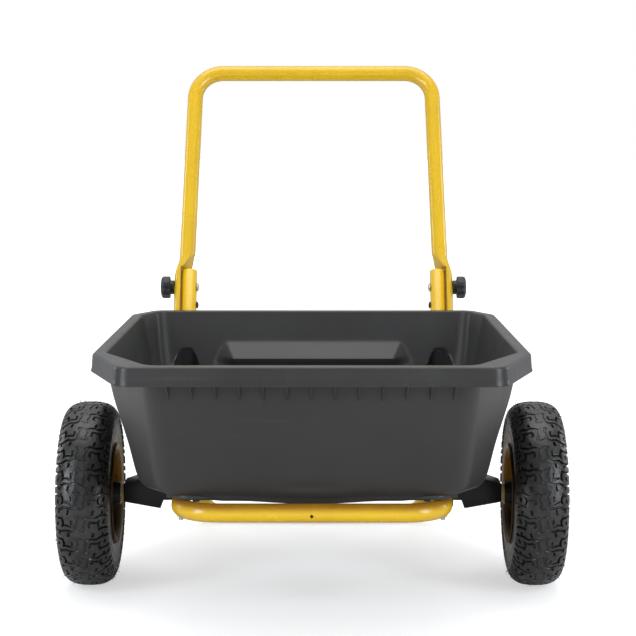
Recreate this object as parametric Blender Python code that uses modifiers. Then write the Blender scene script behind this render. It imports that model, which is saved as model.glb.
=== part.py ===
"""Yard cart: a two-wheeled hand cart with a moulded tray, a bent tube frame,
a folding loop handle held by two clamping knobs, and pneumatic wheels.

Axes: +Z up, +Y towards the handle, X across the cart (the wheel axle).
Lengths in the constants are millimetres; every mesh is written in metres.
Points are measured from the foot of the axle's middle (Y = 0 over the axle)
and shifted by AXLE_Y, which puts the whole cart's box centre on Y = 0.
"""
import math

import bmesh
import bpy
from mathutils import Matrix, Vector

MM = 0.001
GAP = 0.3                      # clearance between pieces that touch

# ---------------------------------------------------------------- dimensions
AXLE_Y = -116.255               # the axle's place in the cart's own frame

TUBE_R = 15.875                # 1-1/4 in frame, stand and handle tube
TUBE_WALL = 1.6
TUBE_SIDES = 10

WHEEL_R = 165.0                # 13 in tyre, 4.00-6
WHEEL_X = 399.0                # wheel centre plane from the cart's middle
AXLE_R = 7.94                  # 5/8 in axle
AXLE_HALF = 445.0

BAR_Y = -261.0                 # front bar of the frame loop
BAR_Z = 187.2
RAIL_FRONT = (222.0, -206.0)   # a point of the right rail (x, y)
RAIL_TOE = 0.0595              # rail's x growth per mm of y
RAIL_RISE = 0.01218            # rail's z growth per mm of y
REAR_Y = 298.0                 # where the rails turn up into the uprights
UPRIGHT_X = 252.0
LEAN = math.radians(24.8)      # uprights and handle lean back
PIVOT_S = 330.6                # handle pivot, along the upright
UPRIGHT_TOP = 35.0             # upright's end above the pivot

HANDLE_TOP_S = 477.0           # top bar centre above the pivot
HANDLE_X_TOP = 247.2           # half spacing of the handle tubes at the top
HANDLE_X_LOW = 256.4           # the same just above the crushed ends
HANDLE_BEND = 58.0
CRUSH_IN = 268.3               # crushed end's flat inner face
CRUSH_OUT = 281.9
CRUSH_HALF = 19.6
CRUSH_END = -56.0

RIM_Z = 454.6                  # top of the tray's flange
SKIRT = 31.0
TRAY_WALL = 4.5
FLOOR_Z = 213.8                # tray floor, upper face, where it lies on the rails
BELLY = 6.7                    # how far the floor's middle hangs lower
KEEL = 4.6                     # and the keel of its front below that

STAND_BOLT_S = 75.0            # stand's bolt, along the upright
FOOT_Y = 479.0
STAND_X = 236.0
BRACE_T = 168.0                # brace bolt, along the stand's leg
BRACE_Y = 200.0                # brace bolt on the rail

TRAY_BOLT_Y = (-192.0, 150.0)
BRACKET_BOLT_Y = 16.0
PAD_X = 193.0

BOLT_R = 4.0                   # M8 hardware
HOLE_R = 4.3


# ---------------------------------------------------------------- scene setup
for ob in list(bpy.data.objects):
    bpy.data.objects.remove(ob, do_unlink=True)

PARTS = bpy.data.collections.new("yard_cart")
CUTTERS = bpy.data.collections.new("yard_cart_cutters")
bpy.context.scene.collection.children.link(PARTS)
bpy.context.scene.collection.children.link(CUTTERS)


def material(name, color, rough, metal=0.0):
    mat = bpy.data.materials.new(name)
    mat.use_nodes = True
    bsdf = mat.node_tree.nodes["Principled BSDF"]
    bsdf.inputs["Base Color"].default_value = (*color, 1.0)
    bsdf.inputs["Roughness"].default_value = rough
    bsdf.inputs["Metallic"].default_value = metal
    return mat


def finish_of(slot):
    looks = {
        "yellow_paint": ((0.72, 0.45, 0.03), 0.30, 0.0),
        "tray_poly": ((0.045, 0.045, 0.048), 0.38, 0.0),
        "black_paint": ((0.012, 0.012, 0.013), 0.35, 0.0),
        "zinc": ((0.62, 0.61, 0.58), 0.35, 1.0),
        "tyre_rubber": ((0.022, 0.023, 0.026), 0.75, 0.0),
        "tube_rubber": ((0.03, 0.03, 0.03), 0.60, 0.0),
        "knob_plastic": ((0.010, 0.010, 0.011), 0.45, 0.0),
        "bearing_steel": ((0.55, 0.55, 0.56), 0.25, 1.0),
    }
    return looks[slot]


def axle_frame(x=0.0, y=0.0, z=0.0):
    return Vector((x * MM, (y + AXLE_Y) * MM, z * MM))


def place(ob, slot, loc=(0.0, 0.0, 0.0), rot=(0.0, 0.0, 0.0), parent=None):
    PARTS.objects.link(ob)
    color, rough, metal = finish_of(slot)
    ob.data.materials.append(material(ob.name + "_" + slot, color, rough, metal))
    ob.parent = parent
    if parent is None:
        ob.location = axle_frame(*loc)
    else:
        ob.location = Vector(loc) * MM
    ob.rotation_euler = rot
    return ob


def smooth(ob, angle=35.0):
    ob.data.shade_smooth()
    ob.data.set_sharp_from_angle(angle=math.radians(angle))
    return ob


def as_cutter(ob, loc=(0.0, 0.0, 0.0), rot=(0.0, 0.0, 0.0), parent=None):
    CUTTERS.objects.link(ob)
    ob.parent = parent
    ob.location = axle_frame(*loc) if parent is None else Vector(loc) * MM
    ob.rotation_euler = rot
    ob.hide_render = True
    ob.display_type = "WIRE"
    return ob


def boolean(ob, tool, kind="DIFFERENCE"):
    mod = ob.modifiers.new(kind.title(), "BOOLEAN")
    mod.operation = kind
    mod.solver = "EXACT"
    mod.object = tool
    return mod


# ---------------------------------------------------------------- generators
def lathe(name, profile, steps, closed):
    """Turned solid round local Z; the profile (r, z) runs down its outer side."""
    me = bpy.data.meshes.new(name)
    n = len(profile)
    edges = [(i, i + 1) for i in range(n - 1)]
    if closed:
        edges.append((n - 1, 0))
    me.from_pydata([(r * MM, 0.0, z * MM) for r, z in profile], edges, [])
    ob = bpy.data.objects.new(name, me)
    mod = ob.modifiers.new("Turn", "SCREW")
    mod.axis = "Z"
    mod.angle = 2.0 * math.pi
    mod.steps = steps
    mod.render_steps = steps
    mod.use_merge_vertices = True
    mod.merge_threshold = 0.00001
    mod.use_smooth_shade = True
    return ob


def ring_of(r_out, r_in, z0, z1):
    return [(r_out, z1), (r_out, z0), (r_in, z0), (r_in, z1)]


def cylinder_into(bm, centre, axis, radius, length, sides=12, turn=0.0):
    """Adds one capped cylinder to a bmesh, in millimetres of the axle frame."""
    axis = Vector(axis).normalized()
    rot = Vector((0, 0, 1)).rotation_difference(axis).to_matrix().to_4x4()
    mat = (Matrix.Translation(Vector(centre) * MM) @ rot
           @ Matrix.Rotation(turn, 4, "Z"))
    bmesh.ops.create_cone(bm, cap_ends=True, cap_tris=False, segments=sides,
                          radius1=radius * MM, radius2=radius * MM,
                          depth=length * MM, matrix=mat)


def cylinders(name, rows, sides=12, turn=0.0):
    """One mesh object of several separate cylinders: (centre, axis, r, length)."""
    bm = bmesh.new()
    for centre, axis, radius, length in rows:
        cylinder_into(bm, centre, axis, radius, length, sides, turn)
    me = bpy.data.meshes.new(name)
    bm.to_mesh(me)
    bm.free()
    return bpy.data.objects.new(name, me)


def box_object(name, size):
    bm = bmesh.new()
    bmesh.ops.create_cube(bm, size=1.0)
    bmesh.ops.scale(bm, vec=Vector(size) * MM, verts=bm.verts)
    me = bpy.data.meshes.new(name)
    bm.to_mesh(me)
    bm.free()
    return bpy.data.objects.new(name, me)


def outline_object(name, points, half):
    """Flat outline (2D) with a thickness of twice half, along local Z."""
    cu = bpy.data.curves.new(name, "CURVE")
    cu.dimensions = "2D"
    cu.fill_mode = "BOTH"
    cu.extrude = half * MM
    sp = cu.splines.new("POLY")
    sp.points.add(len(points) - 1)
    for p, (a, b) in zip(sp.points, points):
        p.co = (a * MM, b * MM, 0.0, 1.0)
    sp.use_cyclic_u = True
    return mesh_from_curve(name, cu)


def mesh_from_curve(name, cu, weld=True):
    tmp = bpy.data.objects.new(name + "_curve", cu)
    CUTTERS.objects.link(tmp)
    bpy.context.view_layer.update()
    dg = bpy.context.evaluated_depsgraph_get()
    me = bpy.data.meshes.new_from_object(tmp.evaluated_get(dg))
    me.name = name
    if weld:
        bm = bmesh.new()
        bm.from_mesh(me)
        bmesh.ops.remove_doubles(bm, verts=bm.verts, dist=0.00001)
        bmesh.ops.recalc_face_normals(bm, faces=bm.faces)
        bm.to_mesh(me)
        bm.free()
    bpy.data.objects.remove(tmp, do_unlink=True)
    bpy.data.curves.remove(cu)
    me.materials.clear()
    return bpy.data.objects.new(name, me)


def bent_path(corners, radii, seg):
    """Polyline with each inner corner replaced by an arc of the given radius."""
    pts = [Vector(corners[0])]
    for i in range(1, len(corners) - 1):
        a, b, c = (Vector(corners[i + k]) for k in (-1, 0, 1))
        u, v = (a - b).normalized(), (c - b).normalized()
        turn = math.pi - u.angle(v)
        cut = radii[i] * math.tan(turn / 2.0)
        start = b + u * cut
        axis = u.cross(v).normalized()
        inward = axis.cross(u)
        if inward.dot(v) < 0:
            inward = -inward
        centre = start + inward * radii[i]
        arm = start - centre
        end_dir = (b + v * cut) - centre
        spin = arm.cross(end_dir).normalized()
        for k in range(seg + 1):
            pts.append(centre + Matrix.Rotation(turn * k / seg, 3, spin) @ arm)
    pts.append(Vector(corners[-1]))
    return pts


def tube_surface(name, points, radius, sides, cyclic=False, caps=False):
    cu = bpy.data.curves.new(name, "CURVE")
    cu.dimensions = "3D"
    cu.bevel_depth = radius * MM
    cu.bevel_resolution = max(0, sides // 2 - 2)
    cu.use_fill_caps = caps
    cu.twist_mode = "MINIMUM"
    sp = cu.splines.new("POLY")
    sp.points.add(len(points) - 1)
    for p, q in zip(sp.points, points):
        p.co = (q[0] * MM, q[1] * MM, q[2] * MM, 1.0)
    sp.use_cyclic_u = cyclic
    return mesh_from_curve(name, cu, weld=True)


def signed_volume(me):
    total = 0.0
    for poly in me.polygons:
        vs = [me.vertices[i].co for i in poly.vertices]
        for k in range(1, len(vs) - 1):
            total += vs[0].dot(vs[k].cross(vs[k + 1]))
    return total


def face_outward(ob):
    if signed_volume(ob.data) < 0.0:
        ob.data.flip_normals()
    return ob


def walled(ob, thickness, offset=-1.0, even=False):
    mod = ob.modifiers.new("Wall", "SOLIDIFY")
    mod.thickness = thickness * MM
    mod.offset = offset
    mod.use_even_offset = even
    mod.use_rim = True
    return ob


def lofted(name, rings, closed_ring=True, cap_last=False):
    """Skin over rings of equal length, each a list of (x, y, z) millimetres."""
    n = len(rings[0])
    verts = [(p[0] * MM, p[1] * MM, p[2] * MM) for ring in rings for p in ring]
    faces = []
    for i in range(len(rings) - 1):
        for j in range(n if closed_ring else n - 1):
            k = (j + 1) % n
            faces.append((i * n + j, i * n + k, (i + 1) * n + k, (i + 1) * n + j))
    if cap_last:
        base = (len(rings) - 1) * n
        faces.append(tuple(base + j for j in range(n)))
    me = bpy.data.meshes.new(name)
    me.from_pydata(verts, [], faces)
    me.validate()
    return bpy.data.objects.new(name, me)


def blend01(a, b, x):
    t = min(1.0, max(0.0, (x - a) / (b - a)))
    return t * t * (3.0 - 2.0 * t)


def section(centre, normal, out, inn, half, n_out, n_in, sides):
    """Cross-section of a tube whose path lies in the local XZ plane.

    normal is the in-plane direction away from the loop's middle; out and inn
    are the section's reaches along and against it; half is its reach in Y.
    """
    ring = []
    for k in range(sides):
        a = 2.0 * math.pi * k / sides
        c, s = math.cos(a), math.sin(a)
        n = n_out if c >= 0.0 else n_in
        reach = out if c >= 0.0 else inn
        m = math.copysign(abs(c) ** (2.0 / n), c) * reach
        y = math.copysign(abs(s) ** (2.0 / n), s) * half
        if abs(c) < 1e-9:
            m = 0.0
        ring.append((centre[0] + normal[0] * m, y, centre[1] + normal[1] * m))
    return ring


def mirrored_sections(rows):
    """Right-hand rows plus their mirror images, as one run across the loop."""
    flip = [((-c[0], c[1]), (-n[0], n[1]), *rest) for c, n, *rest in reversed(rows)]
    if abs(rows[-1][0][0]) < 1e-6:
        flip = flip[1:]
    return rows + flip


def rail_x(y):
    return RAIL_FRONT[0] + RAIL_TOE * (y - RAIL_FRONT[1])


def rail_z(y):
    return BAR_Z + RAIL_RISE * (y - BAR_Y)


REAR_Z = rail_z(REAR_Y)
UP_DIR = Vector((0.0, math.sin(LEAN), math.cos(LEAN)))


def on_upright(s):
    """Point of the right upright's centre line, s mm above the rails' corner."""
    return Vector((UPRIGHT_X, REAR_Y, REAR_Z)) + UP_DIR * s


PIVOT = on_upright(PIVOT_S)
STAND_TOP = on_upright(STAND_BOLT_S)


def bolt(name, loc, rot, length, slot="zinc", head_r=9.0, head_h=4.0, nut_at=None,
         nut_h=6.4, shank_r=BOLT_R, hex_head=False, parent=None):
    """Round-headed bolt along local Z: the head's seat is z = 0, shank below.

    A nut, where there is one, is threaded on and makes one body with it.
    """
    profile = [(0.0, head_h), (head_r * 0.62, head_h * 0.82), (head_r, head_h * 0.22),
               (head_r, 0.0), (shank_r, 0.0), (shank_r, -length), (0.0, -length)]
    ob = lathe(name, profile, 8, closed=False)
    place(ob, slot, loc, rot, parent)
    if nut_at is not None:
        nut = cylinders(name + "_nut", [((0, 0, -nut_at - nut_h / 2), (0, 0, 1), 7.5, nut_h)], 6)
        as_cutter(nut, loc, rot, parent)
        boolean(ob, nut, "UNION")
    return ob


OUT_R = (0.0, math.pi / 2, 0.0)      # local Z points to +X
OUT_L = (0.0, -math.pi / 2, 0.0)     # local Z points to -X


# ---------------------------------------------------------------- main frame
def make_main_frame():
    top = on_upright(PIVOT_S + UPRIGHT_TOP)
    corner = (rail_x(BAR_Y), BAR_Y, BAR_Z)
    right = [tuple(top), (UPRIGHT_X, REAR_Y, REAR_Z), corner]
    left = [(-x, y, z) for x, y, z in reversed(right)]
    pts = bent_path(right + left, [0, 100.0, 62.0, 62.0, 100.0, 0], 4)
    ob = face_outward(tube_surface("main_frame", pts, TUBE_R, TUBE_SIDES))
    smooth(ob)
    place(ob, "yellow_paint")
    walled(ob, TUBE_WALL)
    rows = []
    for side in (1, -1):
        p, q = PIVOT, STAND_TOP
        plug = on_upright(PIVOT_S - 38.0)
        rows.append(((side * p.x, p.y, p.z), (1, 0, 0), HOLE_R, 40.0))
        rows.append(((side * q.x, q.y, q.z), (1, 0, 0), HOLE_R, 40.0))
        rows.append(((side * (plug.x - TUBE_R), plug.y, plug.z), (1, 0, 0), HOLE_R, 12.0))
        rows.append(((side * rail_x(BRACE_Y), BRACE_Y, rail_z(BRACE_Y)), (1, 0, 0), HOLE_R, 44.0))
        for y in (-BRACKET_BOLT_Y, BRACKET_BOLT_Y):
            rows.append(((side * rail_x(y), y, rail_z(0.0)), (1, 0, 0), HOLE_R, 44.0))
        for y in TRAY_BOLT_Y:
            rows.append(((side * rail_x(y), y, rail_z(y)), (0, 0, 1), HOLE_R, 44.0))
    rows.append(((0.0, BAR_Y - TUBE_R, BAR_Z - 0.5), (0, 1, 0), 3.0, 12.0))
    holes = as_cutter(cylinders("main_frame_holes", rows, 10))
    boolean(ob, holes)
    return ob


# ---------------------------------------------------------------- handle
def make_handle(parent):
    """Loop handle in its own frame: local Z up the handle, origin on the pivot."""
    rows = []
    tilt = (HANDLE_X_TOP - HANDLE_X_LOW) / (HANDLE_TOP_S - 78.0)
    along = Vector((tilt, 1.0)).normalized()          # (x, z) up the right tube
    outward = (along.y, -along.x)
    for s in (CRUSH_END, 19.0, 30.0, 38.0, 46.0, 54.0, 62.0, 78.0):
        cx = HANDLE_X_LOW + tilt * (s - 78.0)
        x_out = CRUSH_OUT + (cx + TUBE_R - CRUSH_OUT) * blend01(18.0, 66.0, s)
        x_in = CRUSH_IN + (cx - TUBE_R - CRUSH_IN) * blend01(38.0, 64.0, s)
        mid = 272.4 + (cx - 272.4) * blend01(34.0, 66.0, s)
        half = CRUSH_HALF + (TUBE_R - CRUSH_HALF) * blend01(30.0, 78.0, s)
        n_in = 7.0 + (2.0 - 7.0) * blend01(34.0, 66.0, s)
        rows.append(((mid, s), (1.0, 0.0), x_out - mid, mid - x_in, half, 2.0, n_in))
    corner = Vector((HANDLE_X_TOP, HANDLE_TOP_S))
    turn = math.pi / 2.0 + math.atan(tilt)            # from the tube to the top bar
    cut = HANDLE_BEND * math.tan(turn / 2.0)
    start = corner - along * cut
    centre = start - Vector(outward) * HANDLE_BEND
    seg = 5
    base = math.atan2(outward[1], outward[0])
    for k in range(seg + 1):
        a = base + turn * k / seg
        n = (math.cos(a), math.sin(a))
        rows.append(((centre.x + n[0] * HANDLE_BEND, centre.y + n[1] * HANDLE_BEND), n,
                     TUBE_R, TUBE_R, TUBE_R, 2.0, 2.0))
    rows.append(((0.0, HANDLE_TOP_S), (0.0, 1.0), TUBE_R, TUBE_R, TUBE_R, 2.0, 2.0))
    rings = [section(*row, TUBE_SIDES) for row in mirrored_sections(rows)]
    ob = face_outward(lofted("handle", rings))
    smooth(ob, 40.0)
    place(ob, "yellow_paint", parent=parent)
    walled(ob, TUBE_WALL)
    mid_x = (CRUSH_IN + CRUSH_OUT) / 2.0
    holes = cylinders("handle_holes", [((s * mid_x, 0, 0), (1, 0, 0), HOLE_R, 26.0) for s in (1, -1)], 10)
    as_cutter(holes, parent=parent)
    boolean(ob, holes)
    return ob


# ---------------------------------------------------------------- rear stand
def make_stand():
    """U-shaped stand; its flattened ends bolt to the inner sides of the uprights."""
    run = math.hypot(FOOT_Y - STAND_TOP.y, STAND_TOP.z - TUBE_R)
    rake = math.atan2(FOOT_Y - STAND_TOP.y, STAND_TOP.z - TUBE_R)
    empty = bpy.data.objects.new("stand_axis", None)
    PARTS.objects.link(empty)
    empty.location = axle_frame(0.0, STAND_TOP.y, STAND_TOP.z)
    empty.rotation_euler = (rake, 0.0, 0.0)            # local -Z runs down the legs
    flat_out = UPRIGHT_X - TUBE_R - GAP
    flat_in = flat_out - 6.0
    rows = []
    for t in (-20.0, 20.0, 32.0, 45.0, 60.0):
        f = blend01(22.0, 60.0, t)
        x_out = flat_out + (STAND_X + TUBE_R - flat_out) * f
        x_in = flat_in + (STAND_X - TUBE_R - flat_in) * f
        mid = (x_out + x_in) / 2.0
        half = 21.5 + (TUBE_R - 21.5) * f
        power = 3.2 + (2.0 - 3.2) * f
        rows.append(((mid, -t), (1.0, 0.0), x_out - mid, mid - x_in, half, power, power))
    bend, seg = 62.0, 4
    centre = (STAND_X - bend, -(run - bend))
    for k in range(seg + 1):
        a = -math.pi / 2.0 * k / seg
        n = (math.cos(a), math.sin(a))
        rows.append(((centre[0] + n[0] * bend, centre[1] + n[1] * bend), n,
                     TUBE_R, TUBE_R, TUBE_R, 2.0, 2.0))
    rings = [section(*row, TUBE_SIDES) for row in mirrored_sections(rows)]
    ob = face_outward(lofted("rear_stand", rings))
    smooth(ob, 40.0)
    place(ob, "yellow_paint", parent=empty)
    walled(ob, TUBE_WALL)
    rows = []
    for side in (1, -1):
        rows.append(((side * (flat_in + 3.0), 0, 0), (1, 0, 0), HOLE_R, 20.0))
        rows.append(((side * STAND_X, 0, -BRACE_T), (1, 0, 0), HOLE_R, 44.0))
    boolean(ob, as_cutter(cylinders("rear_stand_holes", rows, 10), parent=empty))
    leg = Vector((0.0, math.sin(rake), -math.cos(rake)))
    return STAND_TOP + leg * BRACE_T


# ---------------------------------------------------------------- tray
def rounded_outline(corners, radius, seg):
    """Closed plan outline with every corner turned into an arc of seg chords."""
    n = len(corners)
    out = []
    for i in range(n):
        a, b, c = (Vector(corners[(i + k) % n]) for k in (-1, 0, 1))
        u, v = (a - b).normalized(), (c - b).normalized()
        half = u.angle(v) / 2.0
        cut = radius / math.tan(half)
        centre = b + (u + v).normalized() * (radius / math.sin(half))
        p, q = b + u * cut - centre, b + v * cut - centre
        a0 = math.atan2(p.y, p.x)
        sweep = (math.atan2(q.y, q.x) - a0 + math.pi) % (2.0 * math.pi) - math.pi
        for k in range(seg + 1):
            t = a0 + sweep * k / seg
            out.append((centre.x + radius * math.cos(t), centre.y + radius * math.sin(t)))
    return out


def tray_ring(front, side, back_side, back, z, radius, step=0.0, dip=0.0, seg=3, nose=0.0, sag=0.0):
    """One level of the tray: an eight-cornered plan, with the moulded step in
    its back wall (step mm deep), the shallow keel of its front (dip mm), and
    the front edge's middle pushed forward by nose and hung lower by sag."""
    f, s, b, k = front, side, back_side, back
    corners = [f, s, b, k, (-k[0], k[1]), (-b[0], b[1]), (-s[0], s[1]), (-f[0], f[1])]
    arcs = rounded_outline(corners, radius, seg)
    m = seg + 1
    edge = ((0.0, 1.0), (35.0, 1.0), (75.0, 0.5), (130.0, 0.0), (165.0, 0.0))
    ring = [(x, f[1] - nose, z - sag - dip * w) for x, w in edge]
    for i in range(4):
        ring += [(x, y, z) for x, y in arcs[i * m:(i + 1) * m]]
    outer, inner = (205.0, 158.0) if step else (188.0, 170.0)
    ring += [(outer, k[1], z), (inner, k[1] - step, z), (-inner, k[1] - step, z), (-outer, k[1], z)]
    for i in range(4, 8):
        ring += [(x, y, z) for x, y in arcs[i * m:(i + 1) * m]]
    ring += [(-x, f[1] - nose, z - sag - dip * w) for x, w in reversed(edge[1:])]
    return ring


def grown(points, d):
    """Pushes the four plan corners of a level outward by d."""
    (fx, fy), (sx, sy), (bx, by), (kx, ky) = points
    return ((fx + d * 0.7, fy - d), (sx + d, sy - d * 0.4), (bx + d, by + d * 0.4), (kx + d * 0.7, ky + d))


FRONT_WALL = ((451.0, -393.0), (397.0, -360.0), (368.0, -342.0), (300.0, -300.0), (240.0, -263.0))


def make_tray():
    rim = ((304.0, -418.5), (362.5, -252.0), (355.0, 303.7), (315.6, 379.4))
    body = ((258.0, -393.0), (341.0, -240.0), (333.0, 294.0), (303.0, 356.0))
    low = RIM_Z - SKIRT
    rings = [
        tray_ring(*grown(rim, 1.5), low, 30.0),
        tray_ring(*rim, RIM_Z - 4.5, 30.0),
        tray_ring(*grown(rim, -1.2), RIM_Z - 1.2, 29.0),
        tray_ring(*grown(rim, -4.5), RIM_Z, 27.0),
        tray_ring(*grown(body, 3.2), RIM_Z, 32.0),
        tray_ring(*body, RIM_Z - 3.6, 30.0),
        tray_ring((257.0, -360.0), (331.0, -230.0), (323.0, 283.0), (297.0, 334.6), 397.0, 32.0),
        tray_ring((256.0, -342.0), (325.0, -223.0), (317.0, 277.0), (293.0, 323.1), 368.0, 33.0, step=29.0),
        tray_ring((254.0, -300.0), (307.0, -206.0), (301.0, 258.0), (285.0, 296.0), 300.0, 34.0, step=24.0),
        tray_ring((250.0, -263.0), (294.0, -190.0), (290.0, 240.0), (275.0, 272.0), 240.0, 35.0, step=10.0, nose=1.5),
        tray_ring((240.0, -247.0), (284.0, -184.0), (280.0, 230.0), (262.0, 260.0), 221.0, 34.0, step=4.0,
                  dip=0.5 * KEEL, nose=4.0, sag=1.0),
        tray_ring((218.0, -222.0), (266.0, -176.0), (264.0, 204.0), (240.0, 236.0), FLOOR_Z, 30.0, step=0.5,
                  dip=KEEL, nose=16.0, sag=BELLY),
        tray_ring((150.0, -196.0), (188.0, -160.0), (188.0, 165.0), (150.0, 196.0), FLOOR_Z, 16.0, dip=KEEL, sag=BELLY),
        tray_ring((140.0, -182.0), (176.0, -152.0), (176.0, 155.0), (140.0, 184.0), FLOOR_Z - BELLY, 14.0),
    ]
    # the two floor rings are narrower than the step's and the front edge's points: pull those in
    for ring, inner in ((rings[12], 120.0), (rings[13], 110.0)):
        for i, (x, y, z) in enumerate(ring):
            if y > 170.0 and abs(x) > inner and abs(x) in (188.0, 170.0):
                ring[i] = (math.copysign(inner - (0.0 if abs(x) == 188.0 else 30.0), x), y, z)
            if y < -170.0 and abs(x) in (130.0, 165.0):
                ring[i] = (math.copysign(105.0 if abs(x) == 130.0 else 126.0, x), y, z)
    # the belly's corners rise from its hung front edge to the rails' level
    for i, lift in ((5, 0.28), (6, 0.73)):
        for j in (i, len(rings[12]) - i):
            x, y, z = rings[12][j]
            rings[12][j] = (x, y, FLOOR_Z - BELLY * (1.0 - lift))
    ob = lofted("tray", rings, cap_last=True)
    smooth(ob, 30.0)
    place(ob, "tray_poly")
    walled(ob, TRAY_WALL, -1.0, even=True)

    # gusset ribs between the front skirt and the front wall
    bm = bmesh.new()
    for k in range(-6, 7):
        prof = [(-415.8, RIM_Z - 2.2), (-417.3, RIM_Z - SKIRT + 1.2), (-361.5, 392.0), (-391.5, 445.0), (-396.0, RIM_Z - 2.2)]
        vs = []
        for dx in (-1.5, 1.5):
            vs.append([bm.verts.new(((k * 38.0 + dx) * MM, y * MM, z * MM)) for y, z in prof])
        bm.faces.new(vs[0])
        bm.faces.new(list(reversed(vs[1])))
        m = len(prof)
        for i in range(m):
            j = (i + 1) % m
            bm.faces.new((vs[0][j], vs[0][i], vs[1][i], vs[1][j]))
    bmesh.ops.recalc_face_normals(bm, faces=bm.faces)
    me = bpy.data.meshes.new("tray_ribs")
    bm.to_mesh(me)
    bm.free()
    ribs = as_cutter(bpy.data.objects.new("tray_ribs", me))
    boolean(ob, ribs, "UNION")
    rows = [((side * rail_x(y), y, FLOOR_Z - 2.0), (0, 0, 1), HOLE_R, 20.0)
            for side in (1, -1) for y in TRAY_BOLT_Y]
    boolean(ob, as_cutter(cylinders("tray_holes", rows, 10)))
    return ob


# ---------------------------------------------------------------- wheels
def make_wheel(tag, side):
    """Wheel parts turned round local Z, which points away from the cart."""
    hub_axis = bpy.data.objects.new("wheel_axis_" + tag, None)
    PARTS.objects.link(hub_axis)
    hub_axis.location = axle_frame(side * WHEEL_X, 0.0, WHEEL_R)
    hub_axis.rotation_euler = OUT_R if side > 0 else OUT_L

    def turned(name, profile, slot, steps, closed=True):
        ob = lathe(name + "_" + tag, profile, steps, closed)
        return place(ob, slot, parent=hub_axis)

    # outer half-outline of the tyre from crown to bead, then the inner one back
    half = [(WHEEL_R, -12.0), (159.5, -34.0), (146.0, -45.2), (124.0, -47.0),
            (98.0, -46.4), (91.2, -45.5), (81.8, -42.65), (79.0, -38.4)]
    inside = [(79.0, -24.0), (104.0, -36.0), (130.0, -39.5), (154.0, -20.0)]
    down = half + inside
    up = [(r, -z) for r, z in reversed(down)]
    turned("tyre", down + up, "tyre_rubber", 28)

    # inner tube: a hollow ring with its valve stem, bored through
    tube = []
    for k in range(8):
        a = 2.0 * math.pi * k / 8
        tube.append((121.0 + 30.0 * math.cos(a), -34.5 * math.sin(a)))
    ring = turned("inner_tube", tube, "tube_rubber", 16)
    hollow = lathe("inner_tube_hollow_" + tag,
                   [(121.0 + 27.0 * math.cos(2 * math.pi * k / 8), -31.5 * math.sin(2 * math.pi * k / 8))
                    for k in range(8)], 16, True)
    as_cutter(hollow, parent=hub_axis)
    stem = cylinders("valve_stem_" + tag, [((-76.0, 0.0, 11.0), (1, 0, 0), 4.2, 40.0)], 8, 0.2)
    as_cutter(stem, parent=hub_axis)
    bore = cylinders("valve_bore_" + tag, [((-72.0, 0.0, 11.0), (1, 0, 0), 1.6, 70.0)], 6, 0.2)
    as_cutter(bore, parent=hub_axis)
    boolean(ring, stem, "UNION")
    boolean(ring, hollow)
    boolean(ring, bore)

    # pressed rim halves, back to back in the centre plane
    disc = [(20.9, 2.5), (58.0, 2.5), (71.0, 10.0), (75.4, 22.0), (75.8, 40.0),
            (80.0, 45.5), (88.5, 48.0), (90.8, 45.8), (81.5, 43.0), (78.6, 38.5),
            (78.4, 22.0), (74.0, 8.0), (60.0, GAP / 2), (20.9, GAP / 2)]
    for end, sign in (("outer", 1), ("inner", -1)):
        prof = [(r, z * sign) for r, z in disc]
        if sign < 0:
            prof = list(reversed(prof))
        half_rim = turned("rim_" + end, prof, "yellow_paint", 28)
        if sign > 0:
            hole = cylinders("valve_hole_" + tag, [((-72.0, 0.0, 11.0), (1, 0, 0), 5.2, 24.0)], 8)
            boolean(half_rim, as_cutter(hole, parent=hub_axis))

    hub_in, hub_out = -53.2, 33.0
    turned("hub", ring_of(20.5, 17.5, hub_in, hub_out), "black_paint", 20)
    for end, z0 in (("inner", hub_in), ("outer", hub_out - 11.0)):
        turned("bearing_" + end, ring_of(17.2, AXLE_R + 0.5, z0, z0 + 11.0), "bearing_steel", 16)

    ax = bpy.data.objects.new("washer_axis_" + tag, None)
    PARTS.objects.link(ax)
    ax.location = hub_axis.location
    ax.rotation_euler = hub_axis.rotation_euler
    for name, z0, z1 in (("inner_washer_" + tag, -60.2, -53.5), ("outer_washer_" + tag, 33.3, 36.3)):
        ob = lathe(name, ring_of(16.5, AXLE_R + 0.6, z0, z1), 16, True)
        place(ob, "zinc", parent=ax)

    # hairpin cotter through the axle's end hole
    pin = [(0.0, -14.0), (0.0, 12.0)]
    for k in range(1, 5):
        a = math.pi * k / 4
        pin.append((6.0 - 6.0 * math.cos(a), 12.0 + 6.0 * math.sin(a)))
    pin += [(12.0, 6.0), (11.0, 0.0), (11.8, -8.0), (14.0, -13.0)]
    path = [(side * (WHEEL_X + 39.6), y, WHEEL_R + z) for y, z in pin]
    cotter = face_outward(tube_surface("cotter_pin_" + tag, path, 1.6, 6, caps=True))
    place(cotter, "zinc")


def make_axle():
    ob = lathe("axle", [(0.0, AXLE_HALF), (AXLE_R - 1.2, AXLE_HALF), (AXLE_R, AXLE_HALF - 1.2),
                        (AXLE_R, -AXLE_HALF + 1.2), (AXLE_R - 1.2, -AXLE_HALF), (0.0, -AXLE_HALF)], 16, False)
    place(ob, "zinc", (0, 0, WHEEL_R), OUT_R)
    holes = cylinders("axle_holes", [((s * (WHEEL_X + 39.6), 0, WHEEL_R), (0, 0, 1), 2.1, 30.0) for s in (1, -1)], 8)
    boolean(ob, as_cutter(holes))


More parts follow.
